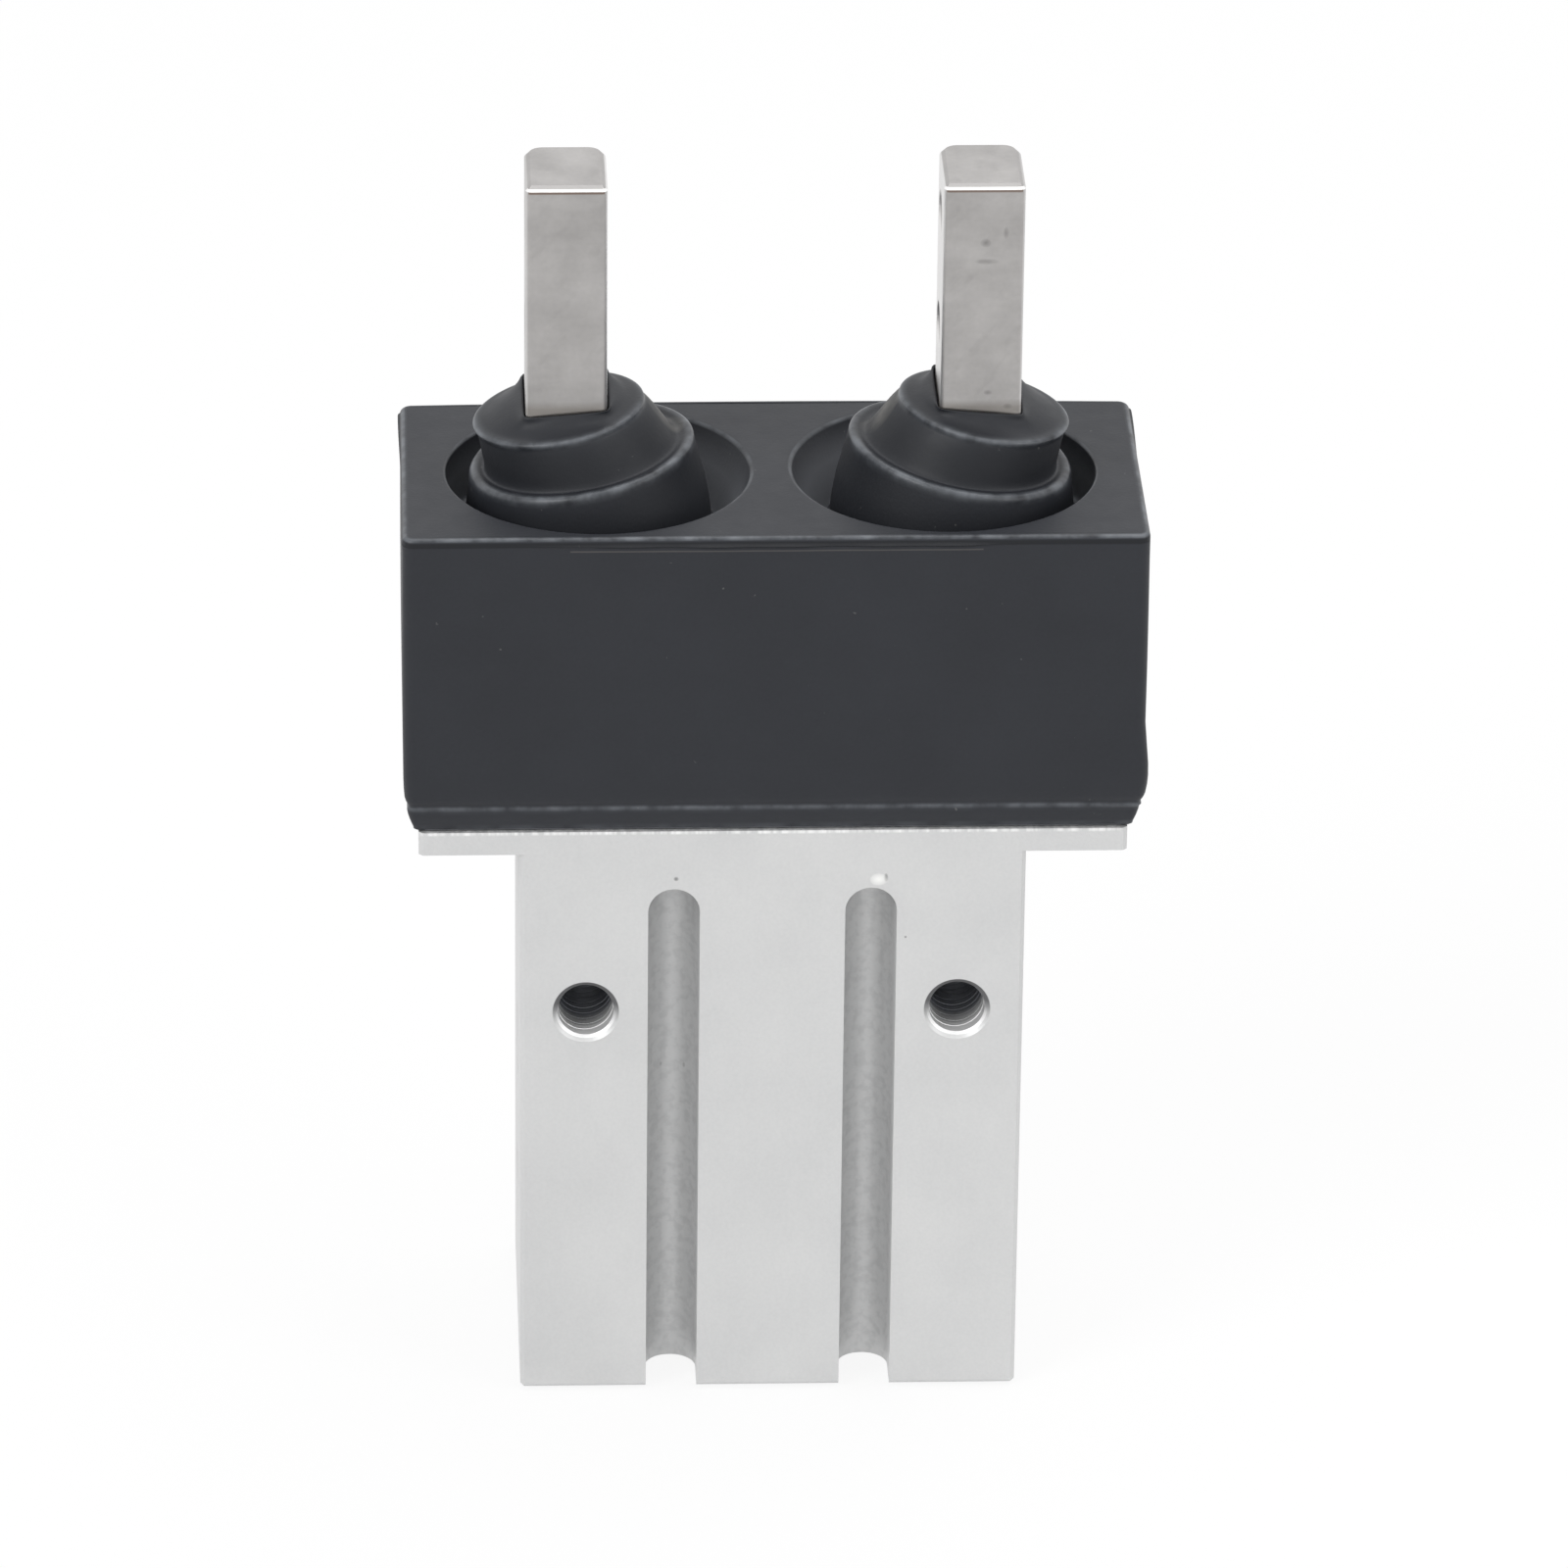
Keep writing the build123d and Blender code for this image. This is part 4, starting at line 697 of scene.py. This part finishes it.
def makeCover(size):
    points = []
    rims = []
    faces = []

    def addRing(ring, rim=0.0):
        start = len(points)
        points.extend(crowned(x, y, z, size) for x, y, z in ring)
        rims.extend([rim] * len(ring))
        return list(range(start, start + len(ring)))

    def bridge(first, second):
        count = len(first)
        for k in range(count):
            m = (k + 1) % count
            faces.append((first[k], first[m], second[m], second[k]))

    def fillPlane(loops):
        flat = [[Vector((points[i][0], points[i][1], 0)) for i in loop] for loop in loops]
        order = [i for loop in loops for i in loop]
        for triangle in tessellate_polygon(flat):
            faces.append(tuple(order[i] for i in triangle))

    outer = []
    for rise, offset, rim in size["profile"]:
        z = size["foot"] + rise
        ring = rectangleRing(
            size["halfLength"] + offset, size["halfDepth"] + offset,
            max(size["corner"] + offset, size["cornerLeast"]), z, size,
        )
        shaped = []
        for x, y, level in ring:
            extra = wallOffset(x, y, level, size) if rise > size["lipRise"] else 0
            onLongSide = abs(y) > size["halfDepth"] - size["corner"]
            onEnd = abs(x) > size["halfLength"] - size["corner"]
            shaped.append((
                x + math.copysign(extra, x) * onEnd, y + math.copysign(extra, y) * onLongSide,
                level,
            ))
        outer.append(addRing(shaped, rim))
    for lower, upper in zip(outer, outer[1:]):
        bridge(lower, upper)
    mouths = []
    holes = []
    rounding = size["rimRounding"]
    depth = size["top"] - size["wellFloor"]
    wellRows = [(0, rounding + size["rimLand"], size["top"], 0)]
    for step in range(size["rimSteps"] + 1):
        angle = math.radians(90 * step / size["rimSteps"])
        drop = rounding * (1 - math.cos(angle))
        grow = rounding * (1 - math.sin(angle))
        rimLightAndShade = size["rimHighlightAmount"] * math.sin(2 * angle)
        wellRows.append((drop / depth, grow, size["top"] - drop, rimLightAndShade))
    for share in size["wellShares"]:
        wellRows.append((share, 0, size["top"] - depth * share, 0))
    for share, grow, rise, rimLightAndShade in size["wellFoot"]:
        wellRows.append((share, grow, size["wellFloor"] + rise, rimLightAndShade))
    for side in (-1, 1):
        loops = []
        for share, grow, z, rim in wellRows:
            centre = size["wellTopX"] + (size["wellBottomX"] - size["wellTopX"]) * share
            radius = size["wellTopRadius"]
            radius += (size["wellBottomRadius"] - size["wellTopRadius"]) * share + grow
            ring = circleRing(side * centre, radius, z, size["circlePoints"])
            loops.append(addRing(ring, rim))
        for level in (size["wellFloor"], size["ceiling"]):
            loops.append(addRing(circleRing(
                side * size["wellBottomX"], size["wellHole"], level, size["circlePoints"],
            )))
        for first, second in zip(loops, loops[1:]):
            bridge(first, second)
        mouths.append(loops[0])
        holes.append(loops[-1])
    fillPlane([outer[-1]] + mouths)
    corner = size["innerCorner"]
    inner = [
        addRing(rectangleRing(size["innerHalfLength"], size["innerHalfDepth"], corner, z, size))
        for z in (size["ceiling"], size["foot"])
    ]
    fillPlane([inner[0]] + holes)
    bridge(inner[0], inner[1])
    bridge(inner[1], outer[0])
    mesh = bpy.data.meshes.new("coverSkin")
    mesh.from_pydata([(x * mm, y * mm, z * mm) for x, y, z in points], [], faces)
    addRimValues(mesh, rims)
    finishMesh(mesh, size["creaseAngle"])
    return addObject("coverSkin", mesh, coverRubber)


coverSkin = makeCover(coverSizes)
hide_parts("dust_cover")
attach(coverSkin, "housing")
print("Dust cover done:", len(coverSkin.data.polygons), "faces")


# Bellows: each row is distance from the middle, height, radius, tilt in degrees, how square
# the ring is, and its rim value: painted highlight above 0, painted shade below 0
bellowsSizes = {
    "outside": [
        (11.40, 53.70, 7.20, 0.0, 0.0, 0), (11.40, 54.25, 7.70, 0.0, 0.0, 0),
        (11.33, 54.42, 7.64, 0.0, 0.0, 0.3), (11.13, 54.56, 7.47, 0.0, 0.0, 0),
        (10.99, 54.85, 7.41, 0.5, 0.0, -0.3), (11.02, 55.60, 7.36, 2.6, 0.0, -0.5),
        (11.13, 56.80, 7.21, 5.8, 0.0, -0.6), (11.29, 58.00, 7.01, 8.6, 0.0, -0.45),
        (11.38, 58.75, 6.90, 10.2, 0.0, 0.1), (11.40, 59.05, 6.86, 10.5, 0.0, 0.6),
        (11.40, 59.22, 6.77, 10.5, 0.0, 1.0), (11.40, 59.31, 6.62, 10.5, 0.0, 0.9),
        (11.41, 59.31, 6.42, 10.5, 0.0, 0.4), (11.42, 59.27, 6.24, 10.5, 0.0, 0),
        (11.44, 59.22, 6.06, 10.5, 0.0, 0), (11.47, 59.24, 5.91, 10.5, 0.0, 0),
        (11.53, 59.36, 5.81, 10.5, 0.0, -0.2), (11.65, 59.62, 5.71, 10.4, 0.0, -0.4),
        (11.90, 60.18, 5.57, 10.1, 0.0, -0.45), (12.20, 60.85, 5.40, 9.9, 0.0, -0.4),
        (12.50, 61.40, 5.25, 9.7, 0.0, -0.2),
        (12.66, 61.62, 5.18, 9.6, 0.0, 0.1), (12.76, 61.78, 5.20, 9.6, 0.0, 0.5),
        (12.80, 61.93, 5.21, 9.6, 0.0, 1.0), (12.80, 62.04, 5.13, 9.6, 0.0, 0.9),
        (12.80, 62.11, 4.95, 9.6, 0.0, 0.3), (12.78, 62.20, 4.60, 9.6, 0.02, 0),
        (12.72, 62.46, 4.05, 8.6, 0.15, 0), (12.62, 62.8, 3.55, 7.4, 0.45, 0),
        (12.52, 63.02, 3.22, 5.6, 0.82, 0), (12.46, 63.06, 3.06, 4.8, 0.95, 0),
        (12.42, 62.95, 2.97, 4.4, 1.0, 0),
    ],
    "inside": [
        (12.40, 62.74, 2.94, 4.4, 1.0, 0), (12.40, 62.24, 2.92, 4.4, 1.0, 0),
        (12.40, 61.50, 3.40, 9.3, 0.5, 0), (12.20, 60.80, 4.30, 9.6, 0.0, 0),
        (11.75, 59.60, 4.90, 10.0, 0.0, 0), (11.45, 58.60, 5.70, 9.8, 0.0, 0),
        (11.40, 57.60, 6.20, 8.0, 0.0, 0), (11.40, 55.60, 6.40, 3.0, 0.0, 0),
        (11.40, 54.00, 6.60, 0.0, 0.0, 0), (11.40, 53.60, 6.80, 0.0, 0.0, 0),
    ],
    "ringPoints": 96, "steps": 3, "creaseAngle": 60, "fingerX": 12.4, "fingerHalfX": 2.435,
    "fingerHalfY": 3.26, "squareness": 14, "hug": 0.03, "squareFrom": 2.92,
    # how far each one is from round: two-lobed swell and its turn, three-lobed swell and turn
    "softness": {
        "left_bellows": (0.005, 0.6, 0.0035, 2.1), "right_bellows": (0.005, 3.4, 0.003, 0.4),
    },
}


def squarePoint(angle, size, spread):
    # Point on the finger's rounded outline, grown by spread, in the direction of the angle
    halfX = size["fingerHalfX"] + spread
    halfY = size["fingerHalfY"] + spread
    power = size["squareness"]
    c, s = math.cos(angle), math.sin(angle)
    reach = (abs(c / halfX) ** power + abs(s / halfY) ** power) ** (-1 / power)
    return reach * c, reach * s


def bellowsRing(row, side, size, softness):
    centreX, height, radius, tilt, square = row[:5]
    lean = math.radians(tilt)
    swell, turn, lobes, lobeTurn = softness
    spread = size["hug"] + max(radius - size["squareFrom"], 0)
    points = []
    for k in range(size["ringPoints"]):
        angle = 2 * math.pi * k / size["ringPoints"]
        soft = 1 + swell * math.sin(2 * angle + turn) + lobes * math.sin(3 * angle + lobeTurn)
        roundX = radius * soft * math.cos(angle)
        roundY = radius * soft * math.sin(angle)
        squareX, squareY = squarePoint(angle, size, spread)
        middle = centreX + (size["fingerX"] - centreX) * square
        x = roundX + (squareX - roundX) * square
        y = roundY + (squareY - roundY) * square
        z = height - x * math.sin(lean)
        points.append((side * (middle + x * math.cos(lean) ** (1 - square)) * mm, y * mm, z * mm))
    return points


def makeBellows(name, side, size):
    rows = smoothPath(size["outside"], size["steps"])
    rows += smoothPath(size["inside"], size["steps"])
    rings = [bellowsRing(row, side, size, size["softness"][name]) for row in rows]
    rims = [min(max(row[5], -1), 1) for row in rows]
    mesh = meshFromRings(name + "Skin", rings, rims, size["creaseAngle"])
    return addObject(name + "Skin", mesh, coverRubber)


for name, side, finger in (
    ("left_bellows", -1, "left_finger"), ("right_bellows", 1, "right_finger"),
):
    bellows = makeBellows(name, side, bellowsSizes)
    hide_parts(name)
    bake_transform(bellows)
print("Bellows done")


# Threads in the tapped holes: one helical ridge in each hole of a pair, by Geometry Nodes
def buildThreadTree():
    tree = bpy.data.node_groups.new("threadRidge", "GeometryNodeTree")
    tree, entry, leave = addSockets(tree, {
        "Radius": "Float", "Pitch": "Float", "Length": "Float", "Ridge": "Float",
        "Spacing": "Vector", "Count": "Int", "Finish": "Material", "Turn Steps": "Int",
        "Ridge Sides": "Int",
    }, {"Geometry": "Geometry"})
    turns = tree.nodes.new("ShaderNodeMath")
    turns.operation = "DIVIDE"
    tree.links.new(entry.outputs["Length"], turns.inputs[0])
    tree.links.new(entry.outputs["Pitch"], turns.inputs[1])
    spiral = tree.nodes.new("GeometryNodeCurveSpiral")
    tree.links.new(entry.outputs["Turn Steps"], spiral.inputs["Resolution"])
    tree.links.new(turns.outputs[0], spiral.inputs["Rotations"])
    tree.links.new(entry.outputs["Radius"], spiral.inputs["Start Radius"])
    tree.links.new(entry.outputs["Radius"], spiral.inputs["End Radius"])
    tree.links.new(entry.outputs["Length"], spiral.inputs["Height"])
    profile = tree.nodes.new("GeometryNodeCurvePrimitiveCircle")
    tree.links.new(entry.outputs["Ridge Sides"], profile.inputs["Resolution"])
    tree.links.new(entry.outputs["Ridge"], profile.inputs["Radius"])
    ridge = tree.nodes.new("GeometryNodeCurveToMesh")
    ridge.inputs["Fill Caps"].default_value = True
    tree.links.new(spiral.outputs["Curve"], ridge.inputs["Curve"])
    tree.links.new(profile.outputs["Curve"], ridge.inputs["Profile Curve"])
    line = tree.nodes.new("GeometryNodeMeshLine")
    tree.links.new(entry.outputs["Count"], line.inputs["Count"])
    tree.links.new(entry.outputs["Spacing"], line.inputs["Offset"])
    instances = tree.nodes.new("GeometryNodeInstanceOnPoints")
    tree.links.new(line.outputs["Mesh"], instances.inputs["Points"])
    tree.links.new(ridge.outputs["Mesh"], instances.inputs["Instance"])
    realize = tree.nodes.new("GeometryNodeRealizeInstances")
    tree.links.new(instances.outputs["Instances"], realize.inputs["Geometry"])
    finish = tree.nodes.new("GeometryNodeSetMaterial")
    tree.links.new(realize.outputs["Geometry"], finish.inputs["Geometry"])
    tree.links.new(entry.outputs["Finish"], finish.inputs["Material"])
    tree.links.new(finish.outputs["Geometry"], leave.inputs["Geometry"])
    return tree


threadTree = buildThreadTree()
threadDetail = {"holes": 2, "turnSteps": 40, "ridgeSides": 4, "creaseAngle": 30}
threadSets = {
    "sideThreads": {
        "body": "housing", "slot": "anodised_aluminium", "finish": anodised, "radius": 1.72,
        "pitch": 0.7, "length": 18.0, "ridge": 0.048,
        "start": (-11.3, -9.0, 26.1), "turn": ("X", -90), "step": (22.6, 0, 0),
    },
    "bottomThreads": {
        "body": "housing", "slot": "anodised_aluminium", "finish": anodised, "radius": 1.7,
        "pitch": 0.7, "length": 5.0, "ridge": 0.13, "start": (-11.5, 0, 0.5), "turn": ("X", 0),
        "step": (23.0, 0, 0),
    },
    "portThreads": {
        "body": "housing", "slot": "anodised_aluminium", "finish": anodised, "radius": 2.1,
        "pitch": 0.8, "length": 4.0, "ridge": 0.14, "start": (-14.7, 0, 9.5), "turn": ("Y", 90),
        "step": (-10.0, 0, 0),
    },
    "leftFingerThreads": {
        "body": "left_finger", "slot": "finger_steel", "finish": fingerSteel, "radius": 1.25,
        "pitch": 0.5, "length": 4.0, "ridge": 0.09, "start": (-14.4, 0, 67.33), "turn": ("Y", 90),
        "step": (-7.2, 0, 0),
    },
    "rightFingerThreads": {
        "body": "right_finger", "slot": "finger_steel", "finish": fingerSteel, "radius": 1.25,
        "pitch": 0.5, "length": 4.0, "ridge": 0.09, "start": (10.4, 0, 67.33), "turn": ("Y", 90),
        "step": (-7.2, 0, 0),
    },
}


def makeThreads(name, size, detail):
    holder = bpy.data.objects.new(name + "Maker", bpy.data.meshes.new(name + "Maker"))
    bpy.context.scene.collection.objects.link(holder)
    modifier = holder.modifiers.new("threads", "NODES")
    modifier.node_group = threadTree
    values = {
        "Radius": size["radius"] * mm, "Pitch": size["pitch"] * mm, "Length": size["length"] * mm,
        "Ridge": size["ridge"] * mm, "Spacing": tuple(part * mm for part in size["step"]),
        "Count": detail["holes"], "Finish": size["finish"], "Turn Steps": detail["turnSteps"],
        "Ridge Sides": detail["ridgeSides"],
    }
    for item in threadTree.interface.items_tree:
        if item.in_out == "INPUT":
            modifier[item.identifier] = values[item.name]
    bpy.context.view_layer.update()
    evaluated = holder.evaluated_get(bpy.context.evaluated_depsgraph_get())
    mesh = bpy.data.meshes.new_from_object(evaluated)
    axis, angle = size["turn"]
    place = Matrix.Translation(Vector(size["start"]) * mm)
    mesh.transform(place @ Matrix.Rotation(math.radians(angle), 4, axis))
    bpy.data.objects.remove(holder)
    finishMesh(mesh, detail["creaseAngle"])
    threads = addObject(name, mesh, size["finish"])
    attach(threads, size["body"])
    return threads


for name, size in threadSets.items():
    threads = makeThreads(name, size, threadDetail)
    print("Threads:", name, len(threads.data.polygons), "faces")


# Camera at the photograph's place
cameraSizes = {
    "elevation": 25.94, "heading": -2.55, "roll": 0.67, "distance": 636.16,
    "target": (1.02, 0.0, 36.77), "lens": 238.609, "sensor": 36.0, "clipStart": 10.0,
}


def makeCamera(size):
    rise = math.radians(size["elevation"])
    heading = math.radians(size["heading"])
    roll = math.radians(size["roll"])
    forward = Vector((-math.sin(heading), math.cos(heading), 0)) * math.cos(rise)
    forward -= Vector((0, 0, math.sin(rise)))
    right = Vector((math.cos(heading), math.sin(heading), 0))
    up = right.cross(forward)
    sideways = math.cos(roll) * right + math.sin(roll) * up
    upright = -math.sin(roll) * right + math.cos(roll) * up
    eye = (Vector(size["target"]) - size["distance"] * forward) * mm
    camera = bpy.data.objects.new("photoCamera", bpy.data.cameras.new("photoCamera"))
    bpy.context.scene.collection.objects.link(camera)
    turn = Matrix((sideways, upright, -forward)).transposed().to_4x4()
    camera.matrix_world = Matrix.Translation(eye) @ turn
    camera.data.sensor_width = size["sensor"]
    camera.data.lens = size["lens"]
    camera.data.clip_start = size["clipStart"] * mm
    bpy.context.scene.camera = camera


makeCamera(cameraSizes)
print("Camera placed")


# Pale floor, a white world, and soft lamps by name, place, width and power, all in metres
studioSizes = {
    "floorHalf": 3.0, "floorDrop": 0.0002, "floorColour": (0.88, 0.88, 0.88),
    "floorRough": 0.9, "floorGlow": 0.88, "worldLevel": 0.5,
    "lamps": [
        ("keyLamp", (-0.7, -0.6, 0.7), 0.6, 5.1), ("fillLamp", (0.8, -0.5, 0.5), 0.7, 2.4),
        ("topLamp", (0.15, 0.2, 1.1), 1.2, 6.2),
    ],
    "aim": (0, 0, 0.04),
}


def seenRays(tree):
    path = tree.nodes.new("ShaderNodeLightPath")
    seen = mathNode(tree, "MAXIMUM", path.outputs["Is Camera Ray"], path.outputs["Is Glossy Ray"])
    return mathNode(tree, "MAXIMUM", seen, path.outputs["Is Transmission Ray"])


def makeStudio(size):
    half, level = size["floorHalf"], -size["floorDrop"]
    mesh = bpy.data.meshes.new("floor")
    mesh.from_pydata(
        [(-half, -half, level), (half, -half, level), (half, half, level), (-half, half, level)],
        [], [(0, 1, 2, 3)],
    )
    material, tree, shader = makeMaterial("paleFloor")
    shader.inputs["Base Color"].default_value = (*size["floorColour"], 1)
    shader.inputs["Roughness"].default_value = size["floorRough"]
    shader.inputs["Specular IOR Level"].default_value = 0.0
    glow = tree.nodes.new("ShaderNodeEmission")
    mix = tree.nodes.new("ShaderNodeMixShader")
    tree.links.new(times(tree, seenRays(tree), size["floorGlow"]), mix.inputs["Fac"])
    tree.links.new(shader.outputs["BSDF"], mix.inputs[1])
    tree.links.new(glow.outputs["Emission"], mix.inputs[2])
    # clear from below, so that the underside can be seen
    clear = tree.nodes.new("ShaderNodeBsdfTransparent")
    faces = tree.nodes.new("ShaderNodeNewGeometry")
    both = tree.nodes.new("ShaderNodeMixShader")
    tree.links.new(faces.outputs["Backfacing"], both.inputs["Fac"])
    tree.links.new(mix.outputs["Shader"], both.inputs[1])
    tree.links.new(clear.outputs["BSDF"], both.inputs[2])
    output = [node for node in tree.nodes if node.type == "OUTPUT_MATERIAL"][0]
    tree.links.new(both.outputs["Shader"], output.inputs["Surface"])
    addObject("floor", mesh, material)

    world = bpy.data.worlds.new("studioWorld")
    bpy.context.scene.world = world
    world.use_nodes = True
    tree = world.node_tree
    tree.nodes.clear()
    output = tree.nodes.new("ShaderNodeOutputWorld")
    background = tree.nodes.new("ShaderNodeBackground")
    seen = times(tree, seenRays(tree), 1 - size["worldLevel"])
    strength = mathNode(tree, "ADD", seen, size["worldLevel"])
    tree.links.new(strength, background.inputs["Strength"])
    background.inputs["Color"].default_value = (1, 1, 1, 1)
    tree.links.new(background.outputs["Background"], output.inputs["Surface"])

    for name, place, width, power in size["lamps"]:
        lamp = bpy.data.lights.new(name, "AREA")
        lamp.shape = "DISK"
        lamp.size = width
        lamp.energy = power
        holder = bpy.data.objects.new(name, lamp)
        bpy.context.scene.collection.objects.link(holder)
        holder.location = place
        direction = Vector(size["aim"]) - Vector(place)
        holder.rotation_euler = direction.to_track_quat("-Z", "Y").to_euler()


makeStudio(studioSizes)
bpy.context.scene.view_settings.view_transform = "Standard"
print("Studio ready")
